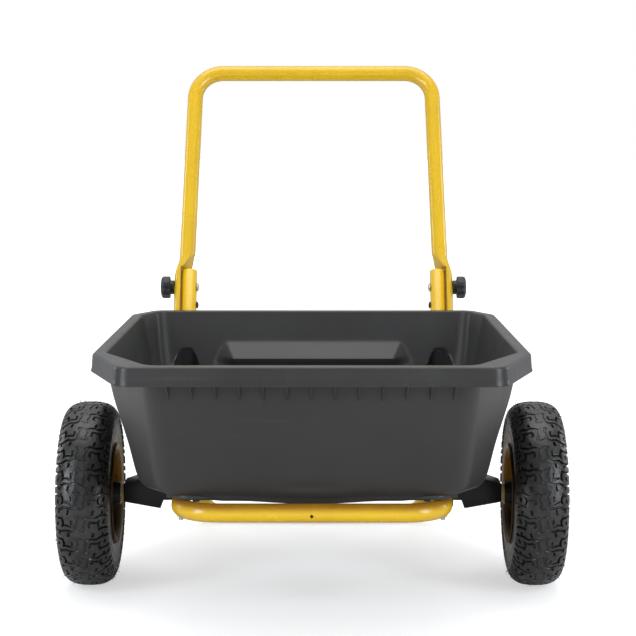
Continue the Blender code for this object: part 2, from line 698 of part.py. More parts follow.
def make_bracket(tag, side):
    """Pressed channel between rail and hub, open below, the axle through it."""
    end_x = WHEEL_X - 60.6
    outline = [(end_x, 154.5), (end_x, 186.0), (310.0, 195.5), (276.0, 204.5), (240.0, 204.5),
               (240.0, 158.0), (267.0, 157.5), (272.5, 142.5)]
    half = 28.0
    ob = outline_object("axle_bracket_" + tag, [(side * x, z) for x, z in outline], half)
    place(ob, "black_paint", rot=(math.pi / 2, 0.0, 0.0))
    wall = 3.5
    pocket = [(end_x - wall, 120.0), (end_x - wall, 186.0 - wall - 1.0), (309.0, 195.5 - wall - 0.5),
              (276.0, 204.5 - wall), (200.0, 204.5 - wall), (200.0, 120.0)]
    cut = outline_object("bracket_pocket_" + tag, [(side * x, z) for x, z in pocket], half - wall)
    as_cutter(cut, rot=(math.pi / 2, 0.0, 0.0))
    # the rail's side is slightly skewed, so the inboard wall follows it
    toe = math.atan(RAIL_TOE)
    face = rail_x(0.0) + TUBE_R / math.cos(toe) + GAP
    keep = box_object("bracket_inboard_" + tag, (wall, 2.0 * half - 0.5, 58.0))
    as_cutter(keep, (side * (face + wall / 2.0), 0.0, 175.0), (0, 0, -side * toe))
    trim = box_object("bracket_trim_" + tag, (60.0, 120.0, 120.0))
    as_cutter(trim, (side * (face - 30.0 / math.cos(toe)), 0.0, 180.0), (0, 0, -side * toe))
    boolean(ob, cut)
    boolean(ob, keep, "UNION")
    boolean(ob, trim)
    rows = [((side * 290.0, 0.0, WHEEL_R), (1, 0, 0), AXLE_R + GAP, 120.0)]
    for y in (-BRACKET_BOLT_Y, BRACKET_BOLT_Y):
        rows.append(((side * face, y, rail_z(0.0)), (1, 0, 0), HOLE_R, 20.0))
    boolean(ob, as_cutter(cylinders("bracket_holes_" + tag, rows, 16)))


# ---------------------------------------------------------------- knobs
def make_knob(tag, side, pivot_empty):
    z0 = CRUSH_OUT + 0.4                     # neck starts on the crushed end
    outline = []
    for k in range(24):
        a = 2.0 * math.pi * k / 24
        r = 22.3 - 1.9 * (0.5 - 0.5 * math.cos(6.0 * a)) ** 2
        outline.append((r * math.cos(a), r * math.sin(a)))
    head = outline_object("knob_" + tag, outline, 9.5)
    bev = head.modifiers.new("Edge", "BEVEL")
    bev.width = 2.6 * MM
    bev.segments = 1
    bev.limit_method = "ANGLE"
    bev.angle_limit = math.radians(50.0)
    smooth(head, 35.0)
    empty = bpy.data.objects.new("knob_axis_" + tag, None)
    PARTS.objects.link(empty)
    empty.location = axle_frame(side * z0, PIVOT.y, PIVOT.z)
    empty.rotation_euler = OUT_R if side > 0 else OUT_L
    place(head, "knob_plastic", (0, 0, 7.4 + 9.5), parent=empty)
    neck = as_cutter(cylinders("knob_neck_" + tag, [((0, 0, 4.5), (0, 0, 1), 13.2, 9.0)], 16), parent=empty)
    pocket = as_cutter(cylinders("knob_pocket_" + tag, [((0, 0, 2.5), (0, 0, 1), 7.9, 7.0)], 6), parent=empty)
    bore = as_cutter(cylinders("knob_bore_" + tag, [((0, 0, 8.0), (0, 0, 1), 4.4, 28.0)], 10), parent=empty)
    boolean(head, neck, "UNION")
    boolean(head, pocket)
    boolean(head, bore)
    insert = cylinders("knob_insert_" + tag, [((0, 0, 2.9), (0, 0, 1), 7.5, 5.6)], 6)
    place(insert, "zinc", parent=empty)
    boolean(insert, bore)


def make_small_parts(leg_point):
    for tag, side in (("right", 1), ("left", -1)):
        outward = OUT_R if side > 0 else OUT_L
        inward = OUT_L if side > 0 else OUT_R
        bolt("handle_bolt_" + tag, (side * (PIVOT.x - TUBE_R - GAP), PIVOT.y, PIVOT.z), inward, 65.5,
             head_r=9.2, head_h=4.2)
        plug = on_upright(PIVOT_S - 38.0)
        ob = lathe("hole_plug_" + tag, [(0.0, 3.8), (4.6, 3.2), (7.2, 1.0), (7.2, 0.0), (3.9, 0.0), (3.9, -5.0), (0.0, -5.0)], 12, False)
        place(ob, "knob_plastic", (side * (plug.x - TUBE_R - GAP), plug.y, plug.z), inward)

        for y, end in zip(TRAY_BOLT_Y, ("front", "rear")):
            seat = FLOOR_Z + GAP
            nut_at = seat - (rail_z(y) - TUBE_R - GAP)
            bolt("tray_bolt_%s_%s" % (end, tag), (side * rail_x(y), y, seat), (0, 0, 0), nut_at + 12.0, nut_at=nut_at)
        for y, end in ((-BRACKET_BOLT_Y, "front"), (BRACKET_BOLT_Y, "rear")):
            seat = rail_x(y) - TUBE_R - 0.5
            nut_at = rail_x(0.0) + TUBE_R / math.cos(math.atan(RAIL_TOE)) + GAP + 3.5 + 2.0 - seat
            bolt("bracket_bolt_%s_%s" % (end, tag), (side * seat, y, rail_z(0.0)), inward, nut_at + 9.5, nut_at=nut_at)
        seat = UPRIGHT_X + TUBE_R + GAP
        nut_at = seat - (UPRIGHT_X - TUBE_R - GAP - 6.0 - GAP)
        bolt("stand_bolt_" + tag, (side * seat, STAND_TOP.y, STAND_TOP.z), outward, nut_at + 9.5, nut_at=nut_at)

        # brace strap from the leg to the rail, with its two bolts
        low = Vector((STAND_X - TUBE_R - 1.5 - 1.5, leg_point.y, leg_point.z))
        top = Vector((rail_x(BRACE_Y) - TUBE_R - 1.9 - 1.5, BRACE_Y, rail_z(BRACE_Y)))
        span = top - low
        strap = box_object("stand_brace_" + tag, (3.0, 22.0, span.length + 20.0))
        mid = (low + top) / 2.0
        direction = Vector((side * span.x, span.y, span.z))
        place(strap, "yellow_paint", (side * mid.x, mid.y, mid.z),
              Vector((0, 0, 1)).rotation_difference(direction).to_euler())
        holes = cylinders("brace_holes_" + tag, [((side * p.x, p.y, p.z), (1, 0, 0), HOLE_R + 0.3, 14.0) for p in (low, top)], 10)
        boolean(strap, as_cutter(holes))
        seat = STAND_X + TUBE_R + GAP
        nut_at = seat - (low.x - 1.5 - 0.6)
        bolt("brace_bolt_low_" + tag, (side * seat, low.y, low.z), outward, nut_at + 9.5, nut_at=nut_at)
        seat = rail_x(BRACE_Y) + TUBE_R + 0.5
        nut_at = seat - (top.x - 1.5 - 0.8)
        bolt("brace_bolt_top_" + tag, (side * seat, top.y, top.z), outward, nut_at + 9.5, nut_at=nut_at)

        pad = box_object("rest_pad_" + tag, (12.0, 28.0, 2.3))
        place(pad, "tube_rubber", (side * PAD_X, -235.0, BAR_Z + TUBE_R + GAP + 1.15))


def main():
    make_main_frame()
    pivot = bpy.data.objects.new("handle_axis", None)
    PARTS.objects.link(pivot)
    pivot.location = axle_frame(0.0, PIVOT.y, PIVOT.z)
    pivot.rotation_euler = (-LEAN, 0.0, 0.0)
    make_handle(pivot)
    leg_point = make_stand()
    make_tray()
    for tag, side in (("right", 1), ("left", -1)):
        make_wheel(tag, side)
        make_bracket(tag, side)
        make_knob(tag, side, pivot)
    make_axle()
    make_small_parts(leg_point)


main()
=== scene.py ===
import math
import random

import bmesh
import bpy
from mathutils import Matrix, Vector

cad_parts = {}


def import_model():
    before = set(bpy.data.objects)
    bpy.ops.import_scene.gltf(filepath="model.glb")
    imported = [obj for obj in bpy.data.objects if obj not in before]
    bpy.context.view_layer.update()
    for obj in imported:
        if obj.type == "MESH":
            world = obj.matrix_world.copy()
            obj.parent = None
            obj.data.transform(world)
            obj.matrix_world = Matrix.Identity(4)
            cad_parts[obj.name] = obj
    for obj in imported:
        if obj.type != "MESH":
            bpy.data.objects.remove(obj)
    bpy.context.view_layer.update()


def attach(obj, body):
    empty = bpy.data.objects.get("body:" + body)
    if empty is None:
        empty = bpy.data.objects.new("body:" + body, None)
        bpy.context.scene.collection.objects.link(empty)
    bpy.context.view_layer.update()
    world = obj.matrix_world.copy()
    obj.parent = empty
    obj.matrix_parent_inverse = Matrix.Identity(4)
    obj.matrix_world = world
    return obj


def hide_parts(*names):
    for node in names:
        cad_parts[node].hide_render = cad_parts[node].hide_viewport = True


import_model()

MM = 0.001
SCENE = bpy.context.scene

# ---------------------------------------------------------------- dimensions (mm)
AXLE_Y = -116.255
TUBE_R, TUBE_WALL = 15.875, 1.6
WHEEL_R, WHEEL_X = 165.0, 399.0
AXLE_R, AXLE_HALF = 7.94, 445.0
BAR_Y, BAR_Z = -261.0, 187.2
RAIL_FRONT, RAIL_TOE, RAIL_RISE = (222.0, -206.0), 0.0595, 0.01218
REAR_Y, UPRIGHT_X = 298.0, 252.0
LEAN = math.radians(24.8)
PIVOT_S, UPRIGHT_TOP = 330.6, 35.0
HANDLE_TOP_S, HANDLE_X_TOP, HANDLE_X_LOW, HANDLE_BEND = 477.0, 247.2, 256.4, 58.0
CRUSH_IN, CRUSH_OUT, CRUSH_HALF, CRUSH_END = 268.3, 281.9, 19.6, -56.0
RIM_Z, SKIRT, TRAY_WALL, FLOOR_Z = 454.6, 31.0, 4.5, 213.8
STAND_BOLT_S, FOOT_Y, STAND_X = 75.0, 479.0, 236.0
BRACE_T, BRACE_Y = 168.0, 200.0
TRAY_BOLT_Y, BRACKET_BOLT_Y = (-192.0, 150.0), 16.0
PAD_X, BELLY, KEEL = 193.0, 6.7, 4.6
GAP = 0.3


def rail_x(y):
    return RAIL_FRONT[0] + RAIL_TOE * (y - RAIL_FRONT[1])


def rail_z(y):
    return BAR_Z + RAIL_RISE * (y - BAR_Y)


REAR_Z = rail_z(REAR_Y)
UP_DIR = Vector((0.0, math.sin(LEAN), math.cos(LEAN)))


def on_upright(s):
    return Vector((UPRIGHT_X, REAR_Y, REAR_Z)) + UP_DIR * s


PIVOT = on_upright(PIVOT_S)
STAND_TOP = on_upright(STAND_BOLT_S)


def world(p):
    """A point in millimetres over the axle, in the frame's metres."""
    return Vector((p[0] * MM, (p[1] + AXLE_Y) * MM, p[2] * MM))


# ================================================================ materials
class Graph:
    """A small helper that wires one material's nodes."""

    def __init__(self, name):
        self.mat = bpy.data.materials.new(name)
        self.mat.use_nodes = True
        self.tree = self.mat.node_tree
        self.bsdf = self.tree.nodes["Principled BSDF"]
        self.coord = self.node("ShaderNodeTexCoord").outputs["Object"]

    def node(self, kind, **props):
        n = self.tree.nodes.new(kind)
        for k, v in props.items():
            setattr(n, k, v)
        return n

    def link(self, a, b):
        self.tree.links.new(a, b)

    def scaled(self, size, offset=(0, 0, 0), rot=(0, 0, 0)):
        m = self.node("ShaderNodeMapping")
        m.inputs["Scale"].default_value = size
        m.inputs["Location"].default_value = offset
        m.inputs["Rotation"].default_value = rot
        self.link(self.coord, m.inputs["Vector"])
        return m.outputs["Vector"]

    def noise(self, scale, detail=3.0, rough=0.5, vector=None, distortion=0.0):
        n = self.node("ShaderNodeTexNoise")
        n.inputs["Scale"].default_value = scale
        n.inputs["Detail"].default_value = detail
        n.inputs["Roughness"].default_value = rough
        n.inputs["Distortion"].default_value = distortion
        self.link(vector or self.coord, n.inputs["Vector"])
        return n.outputs["Fac"]

    def voronoi(self, scale, feature="F1", vector=None, randomness=1.0):
        n = self.node("ShaderNodeTexVoronoi", feature=feature)
        n.inputs["Scale"].default_value = scale
        n.inputs["Randomness"].default_value = randomness
        self.link(vector or self.coord, n.inputs["Vector"])
        return n.outputs["Distance"]

    def remap(self, value, a, b, c, d):
        n = self.node("ShaderNodeMapRange")
        n.inputs["From Min"].default_value = a
        n.inputs["From Max"].default_value = b
        n.inputs["To Min"].default_value = c
        n.inputs["To Max"].default_value = d
        self.link(value, n.inputs["Value"])
        return n.outputs["Result"]

    def math(self, op, a, b=None, clamp=False):
        n = self.node("ShaderNodeMath", operation=op, use_clamp=clamp)
        for i, v in enumerate((a, b)):
            if v is None:
                continue
            if isinstance(v, (int, float)):
                n.inputs[i].default_value = v
            else:
                self.link(v, n.inputs[i])
        return n.outputs[0]

    def mix(self, factor, a, b):
        n = self.node("ShaderNodeMix", data_type="RGBA")
        if isinstance(factor, (int, float)):
            n.inputs[0].default_value = factor
        else:
            self.link(factor, n.inputs[0])
        for i, v in ((6, a), (7, b)):
            if isinstance(v, tuple):
                n.inputs[i].default_value = (*v, 1.0)
            else:
                self.link(v, n.inputs[i])
        return n.outputs[2]

    def bump(self, height, strength, distance, under=None):
        n = self.node("ShaderNodeBump")
        n.inputs["Strength"].default_value = strength
        n.inputs["Distance"].default_value = distance
        self.link(height, n.inputs["Height"])
        if under is not None:
            self.link(under, n.inputs["Normal"])
        return n.outputs["Normal"]

    def finish(self, color, rough, normal=None, metal=0.0, **fixed):
        b = self.bsdf
        self.link(color, b.inputs["Base Color"])
        self.link(rough, b.inputs["Roughness"])
        if normal is not None:
            self.link(normal, b.inputs["Normal"])
        b.inputs["Metallic"].default_value = metal
        for k, v in fixed.items():
            b.inputs[k.replace("_", " ")].default_value = v
        return self.mat


# tint scales the yellow: the handle, stand and braces use 0.89 and the frame 0.97, two copies of one paint at different
# brightness, the handle's darker: painted shade matching how much light each part gets
def yellow_paint(name="yellow_powder_coat", tint=0.89, painted_bar_shade=False):
    g = Graph(name)
    cloud = g.noise(9.0, 4.0, 0.55)
    fleck = g.noise(420.0, 2.0, 0.5)
    color = g.mix(g.remap(cloud, 0.3, 0.7, 0.0, 1.0),
                  (0.70 * tint, 0.440 * tint, 0.009), (0.63 * tint, 0.382 * tint, 0.006))
    color = g.mix(g.remap(fleck, 0.62, 0.80, 0.0, 0.30), color, (0.74 * tint, 0.48 * tint, 0.02))
    # a few dull rubbed patches and hairline scuffs
    scuff = g.noise(30.0, 6.0, 0.7, g.scaled((1.0, 1.0, 0.25), (0.3, 0.1, 0.7)), 1.2)
    worn = g.remap(scuff, 0.66, 0.74, 0.0, 1.0)
    color = g.mix(g.math("MULTIPLY", worn, 0.35), color, (0.50 * tint, 0.27 * tint, 0.012))
    rough = g.math("ADD", g.remap(cloud, 0.3, 0.7, 0.24, 0.33), g.math("MULTIPLY", worn, 0.18))
    if painted_bar_shade:
        # painted shade: a brown darkening on the top of the front bar under the tray's overhang, where the tray shades
        # it; the shaded part is also a little duller
        bar_shade_weight = g.node("ShaderNodeAttribute", attribute_name="painted_bar_shade").outputs["Fac"]
        bar_shade_weight = g.math("MULTIPLY", bar_shade_weight, g.remap(scuff, 0.30, 0.60, 0.80, 0.95), clamp=True)
        color = g.mix(bar_shade_weight, color, (0.250, 0.104, 0.002))
        rough = g.math("ADD", rough, g.math("MULTIPLY", bar_shade_weight, 0.25))
    peel = g.noise(520.0, 2.0, 0.5)
    wide = g.noise(150.0, 2.0, 0.5)
    n = g.bump(wide, 0.035, 0.0006)
    n = g.bump(peel, 0.07, 0.00025, n)
    return g.finish(color, rough, n, 0.0, Coat_Weight=0.30, Coat_Roughness=0.14, Specular_IOR_Level=0.42)


def tray_poly():
    g = Graph("tray_moulded_poly")
    cloud = g.noise(5.0, 4.0, 0.6)
    streak = g.noise(14.0, 5.0, 0.65, g.scaled((1.0, 1.0, 0.18)), 0.6)
    color = g.mix(g.remap(cloud, 0.25, 0.75, 0.0, 1.0), (0.0268, 0.0264, 0.0260), (0.0328, 0.0324, 0.0320))
    color = g.mix(g.remap(streak, 0.55, 0.85, 0.0, 0.35), color, (0.042, 0.0415, 0.041))
    # hairline handling scratches, in two directions
    s1 = g.noise(60.0, 2.0, 0.5, g.scaled((0.10, 1.6, 2.4), (0.0, 0.4, 0.0), (0.0, 0.35, 0.2)), 0.3)
    s2 = g.noise(75.0, 2.0, 0.5, g.scaled((2.2, 0.12, 1.5), (0.7, 0.0, 0.2), (0.3, -0.5, 0.1)), 0.3)
    cut = g.math("MAXIMUM", g.remap(s1, 0.715, 0.735, 0.0, 1.0), g.remap(s2, 0.72, 0.74, 0.0, 1.0), clamp=True)
    color = g.mix(g.math("MULTIPLY", cut, 0.16), color, (0.070, 0.069, 0.068))
    rough = g.math("ADD", g.remap(cloud, 0.3, 0.7, 0.34, 0.41), g.math("MULTIPLY", cut, 0.10))
    rough = g.math("ADD", rough, g.remap(streak, 0.5, 0.8, -0.02, 0.05))
    cell = g.voronoi(1150.0, "SMOOTH_F1")
    fine = g.noise(2300.0, 2.0, 0.5)
    wave = g.noise(22.0, 2.0, 0.45)
    n = g.bump(wave, 0.05, 0.0045)
    n = g.bump(cell, 0.16, 0.00030, n)
    n = g.bump(fine, 0.08, 0.00012, n)
    return g.finish(color, rough, n, 0.0, Specular_IOR_Level=0.32)


def black_paint():
    g = Graph("black_satin_paint")
    cloud = g.noise(24.0, 4.0, 0.6)
    color = g.mix(g.remap(cloud, 0.3, 0.7, 0.0, 1.0), (0.0038, 0.0038, 0.0041), (0.0068, 0.0066, 0.0066))
    nick = g.noise(130.0, 5.0, 0.7, None, 1.0)
    worn = g.remap(nick, 0.73, 0.79, 0.0, 0.5)
    color = g.mix(worn, color, (0.028, 0.027, 0.026))
    rough = g.math("ADD", g.remap(cloud, 0.3, 0.7, 0.28, 0.42), g.math("MULTIPLY", worn, 0.2))
    n = g.bump(g.noise(600.0, 2.0, 0.5), 0.16, 0.0002)
    return g.finish(color, rough, n, 0.0, Specular_IOR_Level=0.27)


def zinc():
    g = Graph("zinc_plate")
    cloud = g.noise(60.0, 4.0, 0.6)
    color = g.mix(g.remap(cloud, 0.3, 0.7, 0.0, 1.0), (0.66, 0.63, 0.56), (0.56, 0.56, 0.58))
    stain = g.noise(170.0, 4.0, 0.65)
    color = g.mix(g.remap(stain, 0.60, 0.78, 0.0, 0.45), color, (0.52, 0.42, 0.24))
    rough = g.remap(cloud, 0.25, 0.75, 0.26, 0.44)
    turned = g.noise(900.0, 2.0, 0.5, g.scaled((3.0, 0.4, 0.4)))
    n = g.bump(turned, 0.14, 0.00010)
    return g.finish(color, rough, n, 1.0)


def washer_plate():
    """Yellow-passivated zinc, dulled by grease."""
    g = Graph("passivated_zinc")
    cloud = g.noise(80.0, 4.0, 0.6)
    color = g.mix(g.remap(cloud, 0.3, 0.7, 0.0, 1.0), (0.64, 0.48, 0.22), (0.50, 0.36, 0.14))
    stain = g.noise(210.0, 4.0, 0.65)
    color = g.mix(g.remap(stain, 0.60, 0.78, 0.0, 0.5), color, (0.26, 0.19, 0.10))
    rough = g.remap(cloud, 0.25, 0.75, 0.38, 0.52)
    n = g.bump(g.noise(900.0, 2.0, 0.5, g.scaled((3.0, 0.4, 0.4))), 0.14, 0.00010)
    return g.finish(color, rough, n, 0.35)


def rim_paint(name, light, dark):
    """The yellow of the wheel's flange, darkened where its attribute is high: a little dirt in the outboard dish,
    painted shade over the inboard dish and the inboard side below and in front of the hub.
    """
    g = Graph(name)
    depth = g.node("ShaderNodeAttribute", attribute_name="dirt_and_shade").outputs["Fac"]
    cloud = g.noise(26.0, 5.0, 0.65)
    color = g.mix(g.remap(cloud, 0.3, 0.7, 0.0, 1.0), light, dark)
    # dark brown mixed in by the attribute: painted shade on the inboard halves, dirt on the outboard ones
    dirt_and_shade_patch = g.math("MULTIPLY", depth, g.remap(cloud, 0.25, 0.60, 0.82, 0.98), clamp=True)
    color = g.mix(dirt_and_shade_patch, color, (0.0125, 0.0085, 0.0055))
    speck = g.noise(240.0, 4.0, 0.7)
    color = g.mix(g.remap(speck, 0.60, 0.78, 0.0, 0.5), color, (0.060, 0.042, 0.024))
    rough = g.math("ADD", g.remap(cloud, 0.3, 0.7, 0.28, 0.36), g.math("MULTIPLY", depth, 0.35))
    n = g.bump(g.noise(420.0, 3.0, 0.6), 0.16, 0.0003)
    return g.finish(color, rough, n, 0.0, Specular_IOR_Level=0.30)


def bearing_steel():
    g = Graph("ground_steel")
    cloud = g.noise(90.0, 3.0, 0.5)
    color = g.mix(g.remap(cloud, 0.3, 0.7, 0.0, 1.0), (0.50, 0.50, 0.51), (0.60, 0.60, 0.61))
    rough = g.remap(cloud, 0.3, 0.7, 0.16, 0.28)
    n = g.bump(g.noise(1500.0, 2.0, 0.5, g.scaled((4.0, 0.3, 0.3))), 0.10, 0.00006)
    return g.finish(color, rough, n, 1.0)


def tyre_rubber():
    g = Graph("tyre_tread_rubber")
    top = g.node("ShaderNodeAttribute", attribute_name="tread").outputs["Fac"]
    cloud = g.noise(11.0, 5.0, 0.6)
    dust = g.noise(70.0, 5.0, 0.65)
    color = g.mix(g.remap(cloud, 0.3, 0.7, 0.0, 1.0), (0.0125, 0.0123, 0.0124), (0.0205, 0.0203, 0.0205))
    mottle = g.noise(75.0, 5.0, 0.7, None, 0.8)
    color = g.mix(g.remap(mottle, 0.42, 0.58, 0.0, 0.72), color, (0.0062, 0.0058, 0.0050))
    # painted shade: the grooves and the sidewall, where the tread attribute is low, are darkened almost to black
    low = g.math("SUBTRACT", 1.0, top, clamp=True)
    color = g.mix(g.math("MULTIPLY", low, 0.85), color, (0.0040, 0.0039, 0.0039))
    powder = g.math("MULTIPLY", g.remap(dust, 0.52, 0.80, 0.0, 0.40), g.remap(top, 0.0, 1.0, 0.25, 1.0))
    color = g.mix(powder, color, (0.040, 0.038, 0.036))
    rough = g.math("ADD", g.remap(cloud, 0.3, 0.7, 0.30, 0.42), g.math("MULTIPLY", powder, 0.22))
    grain = g.noise(820.0, 3.0, 0.6)
    soft = g.noise(95.0, 4.0, 0.6)
    n = g.bump(soft, 0.50, 0.0022)
    n = g.bump(grain, 0.22, 0.00022, n)
    return g.finish(color, rough, n, 0.0, Specular_IOR_Level=0.50)


def soft_rubber():
    g = Graph("soft_black_rubber")
    cloud = g.noise(50.0, 4.0, 0.6)
    color = g.mix(g.remap(cloud, 0.3, 0.7, 0.0, 1.0), (0.012, 0.012, 0.012), (0.024, 0.023, 0.023))
    rough = g.remap(cloud, 0.3, 0.7, 0.50, 0.66)
    n = g.bump(g.noise(900.0, 3.0, 0.6), 0.22, 0.00018)
    return g.finish(color, rough, n, 0.0, Specular_IOR_Level=0.4)


def knob_plastic():
    g = Graph("knob_moulded_plastic")
    cloud = g.noise(45.0, 4.0, 0.6)
    color = g.mix(g.remap(cloud, 0.3, 0.7, 0.0, 1.0), (0.0085, 0.0085, 0.0090), (0.0150, 0.0150, 0.0155))
    rub = g.noise(210.0, 4.0, 0.7)
    color = g.mix(g.remap(rub, 0.64, 0.78, 0.0, 0.35), color, (0.040, 0.040, 0.041))
    rough = g.remap(cloud, 0.3, 0.7, 0.34, 0.46)
    n = g.bump(g.voronoi(1400.0, "SMOOTH_F1"), 0.22, 0.00022)
    return g.finish(color, rough, n, 0.0, Specular_IOR_Level=0.45)


MATS = {
    "yellow_paint": yellow_paint(),
    "tray_poly": tray_poly(),
    "black_paint": black_paint(),
    "zinc": zinc(),
    "bearing_steel": bearing_steel(),
    "tyre_rubber": tyre_rubber(),
    "tube_rubber": soft_rubber(),
    "knob_plastic": knob_plastic(),
}
# the frame's copy of the yellow carries painted shade on the bar's top under the tray
WASHER, FRAME_PAINT = washer_plate(), yellow_paint("yellow_powder_coat_with_bar_shade", 0.97, True)
# the inboard halves carry a darker, more orange copy of the rim yellow than the outboard halves: painted shade
RIMS = {"inner": rim_paint("rim_paint_inboard", (0.50, 0.235, 0.006), (0.38, 0.160, 0.004)),
        "outer": rim_paint("rim_paint_outboard", (0.62, 0.385, 0.009), (0.56, 0.335, 0.006))}


# ================================================================ mesh helpers
def catmull(points, steps):
    """Smooth run through tuples of any length; steps chords between each pair."""
    pts = [tuple(p) for p in points]
    out = []
    for i in range(len(pts) - 1):
        p0, p1, p2 = pts[max(i - 1, 0)], pts[i], pts[i + 1]
        p3 = pts[min(i + 2, len(pts) - 1)]
        for k in range(steps):
            t = k / steps
            t2, t3 = t * t, t * t * t
            out.append(tuple(0.5 * (2 * b + (c - a) * t + (2 * a - 5 * b + 4 * c - d) * t2
                                    + (3 * b - a - 3 * c + d) * t3)
                             for a, b, c, d in zip(p0, p1, p2, p3)))
    out.append(pts[-1])
    return out


def blend01(a, b, x):
    t = min(1.0, max(0.0, (x - a) / (b - a)))
    return t * t * (3.0 - 2.0 * t)


def lerp(a, b, t):
    return a + (b - a) * t


def mesh_piece(name, verts, faces):
    me = bpy.data.meshes.new(name)
    me.from_pydata([tuple(v) for v in verts], [], faces)
    me.validate()
    ob = bpy.data.objects.new(name, me)
    SCENE.collection.objects.link(ob)
    return ob


def outward(ob):
    bm = bmesh.new()
    bm.from_mesh(ob.data)
    bmesh.ops.remove_doubles(bm, verts=bm.verts, dist=1e-6)
    bmesh.ops.recalc_face_normals(bm, faces=bm.faces)
    bm.to_mesh(ob.data)
    bm.free()
    return ob


def bake(ob):
    """Applies the object's modifiers."""
    bpy.context.view_layer.update()
    dg = bpy.context.evaluated_depsgraph_get()
    me = bpy.data.meshes.new_from_object(ob.evaluated_get(dg))
    me.name = ob.name
    ob.modifiers.clear()
    ob.data = me
    return ob


def cut(ob, tool, kind="DIFFERENCE"):
    mod = ob.modifiers.new(kind, "BOOLEAN")
    mod.operation = kind
    mod.solver = "EXACT"
    mod.object = tool
    bake(ob)
    bpy.data.objects.remove(tool, do_unlink=True)
    return ob


def rounded(ob, width, segments=2, angle=35.0):
    mod = ob.modifiers.new("Edge", "BEVEL")
    mod.width = width * MM
    mod.segments = segments
    mod.limit_method = "ANGLE"
    mod.angle_limit = math.radians(angle)
    mod.harden_normals = False
    return bake(ob)


def settle(ob, body, slot, nodes, sharp=38.0, mat=None):
    """Finishes a piece: material, shading, the body that carries it, the nodes it stands for."""
    ob.data.materials.clear()
    ob.data.materials.append(mat or MATS[slot])
    for p in ob.data.polygons:
        p.material_index = 0
    ob.data.shade_smooth()
    ob.data.set_sharp_from_angle(angle=math.radians(sharp))
    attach(ob, body)
    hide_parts(*nodes)
    return ob


def rings_to_mesh(name, rings, cap_first=False, cap_last=False, closed_run=False):
    n = len(rings[0])
    verts = [p for ring in rings for p in ring]
    faces = []
    m = len(rings)
    for i in range(m if closed_run else m - 1):
        a, b = i * n, ((i + 1) % m) * n
        for j in range(n):
            k = (j + 1) % n
            faces.append((a + j, a + k, b + k, b + j))
    if cap_first:
        faces.append(tuple(range(n)))
    if cap_last:
        faces.append(tuple((m - 1) * n + j for j in range(n)))
    return mesh_piece(name, verts, faces)


def fillet(points, radius, seg=3, closed=True):
    """2D outline with its corners rounded; a point may carry its own radius."""
    n = len(points)
    out = []
    for i in range(n):
        p = points[i]
        if not closed and i in (0, n - 1):
            out.append((p[0], p[1]))
            continue
        a, b, c = Vector(points[i - 1][:2]), Vector(p[:2]), Vector(points[(i + 1) % n][:2])
        r = p[2] if len(p) > 2 else radius
        u, v = (a - b), (c - b)
        lu, lv = u.length, v.length
        if lu < 1e-6 or lv < 1e-6 or r <= 0:
            out.append((b.x, b.y))
            continue
        u, v = u / lu, v / lv
        half = u.angle(v) / 2.0
        if half > math.radians(88.5) or half < 0.02:
            out.append((b.x, b.y))
            continue
        trim = min(r / math.tan(half), 0.45 * lu, 0.45 * lv)
        r = trim * math.tan(half)
        centre = b + (u + v).normalized() * (r / math.sin(half))
        p0, p1 = b + u * trim - centre, b + v * trim - centre
        a0 = math.atan2(p0.y, p0.x)
        sweep = (math.atan2(p1.y, p1.x) - a0 + math.pi) % (2 * math.pi) - math.pi
        for k in range(seg + 1):
            t = a0 + sweep * k / seg
            out.append((centre.x + r * math.cos(t), centre.y + r * math.sin(t)))
    return out


def turned(name, profile, steps, centre, axis, closed=True, phase=0.0):
    """Turned piece: (r, z) rows in millimetres round an axis through centre (axle mm)."""
    axis = Vector(axis).normalized()
    side = Vector((0, 0, 1)) if abs(axis.z) < 0.9 else Vector((1, 0, 0))
    e1 = (side - axis * side.dot(axis)).normalized()
    e2 = axis.cross(e1)
    c = Vector(centre)
    verts, faces, rows = [], [], []
    for r, z in profile:
        if r < 1e-6:
            rows.append([len(verts)] * steps)
            verts.append(world(c + axis * z))
        else:
            base = len(verts)
            rows.append([base + k for k in range(steps)])
            for k in range(steps):
                a = 2 * math.pi * k / steps + phase
                verts.append(world(c + axis * z + (e1 * math.cos(a) + e2 * math.sin(a)) * r))
    m = len(rows)
    for i in range(m if closed else m - 1):
        a, b = rows[i], rows[(i + 1) % m]
        for k in range(steps):
            j = (k + 1) % steps
            loop = []
            for v in (a[k], a[j], b[j], b[k]):
                if v not in loop:
                    loop.append(v)
            if len(loop) > 2:
                faces.append(tuple(loop))
    return outward(mesh_piece(name, verts, faces))


def joined(name, obs):
    """One object out of several, with no boolean."""
    bm = bmesh.new()
    for ob in obs:
        bm.from_mesh(ob.data)
    me = bpy.data.meshes.new(name)
    bm.to_mesh(me)
    bm.free()
    for ob in obs:
        bpy.data.objects.remove(ob, do_unlink=True)
    out = bpy.data.objects.new(name, me)
    SCENE.collection.objects.link(out)
    return out


def rod(name, centre, axis, radius, length, sides=24):
    h = length / 2.0
    return turned(name, [(0, -h), (radius, -h), (radius, h), (0, h)], sides, centre, axis, closed=False)


def bent_path(corners, radii, seg):
    pts = [Vector(corners[0])]
    for i in range(1, len(corners) - 1):
        a, b, c = (Vector(corners[i + k]) for k in (-1, 0, 1))
        u, v = (a - b).normalized(), (c - b).normalized()
        turn = math.pi - u.angle(v)
        trim = radii[i] * math.tan(turn / 2.0)
        start = b + u * trim
        axis = u.cross(v).normalized()
        inward = axis.cross(u)
        if inward.dot(v) < 0:
            inward = -inward
        centre = start + inward * radii[i]
        arm = start - centre
        spin = arm.cross((b + v * trim) - centre).normalized()
        for k in range(seg + 1):
            pts.append(centre + Matrix.Rotation(turn * k / seg, 3, spin) @ arm)
    pts.append(Vector(corners[-1]))
    return pts


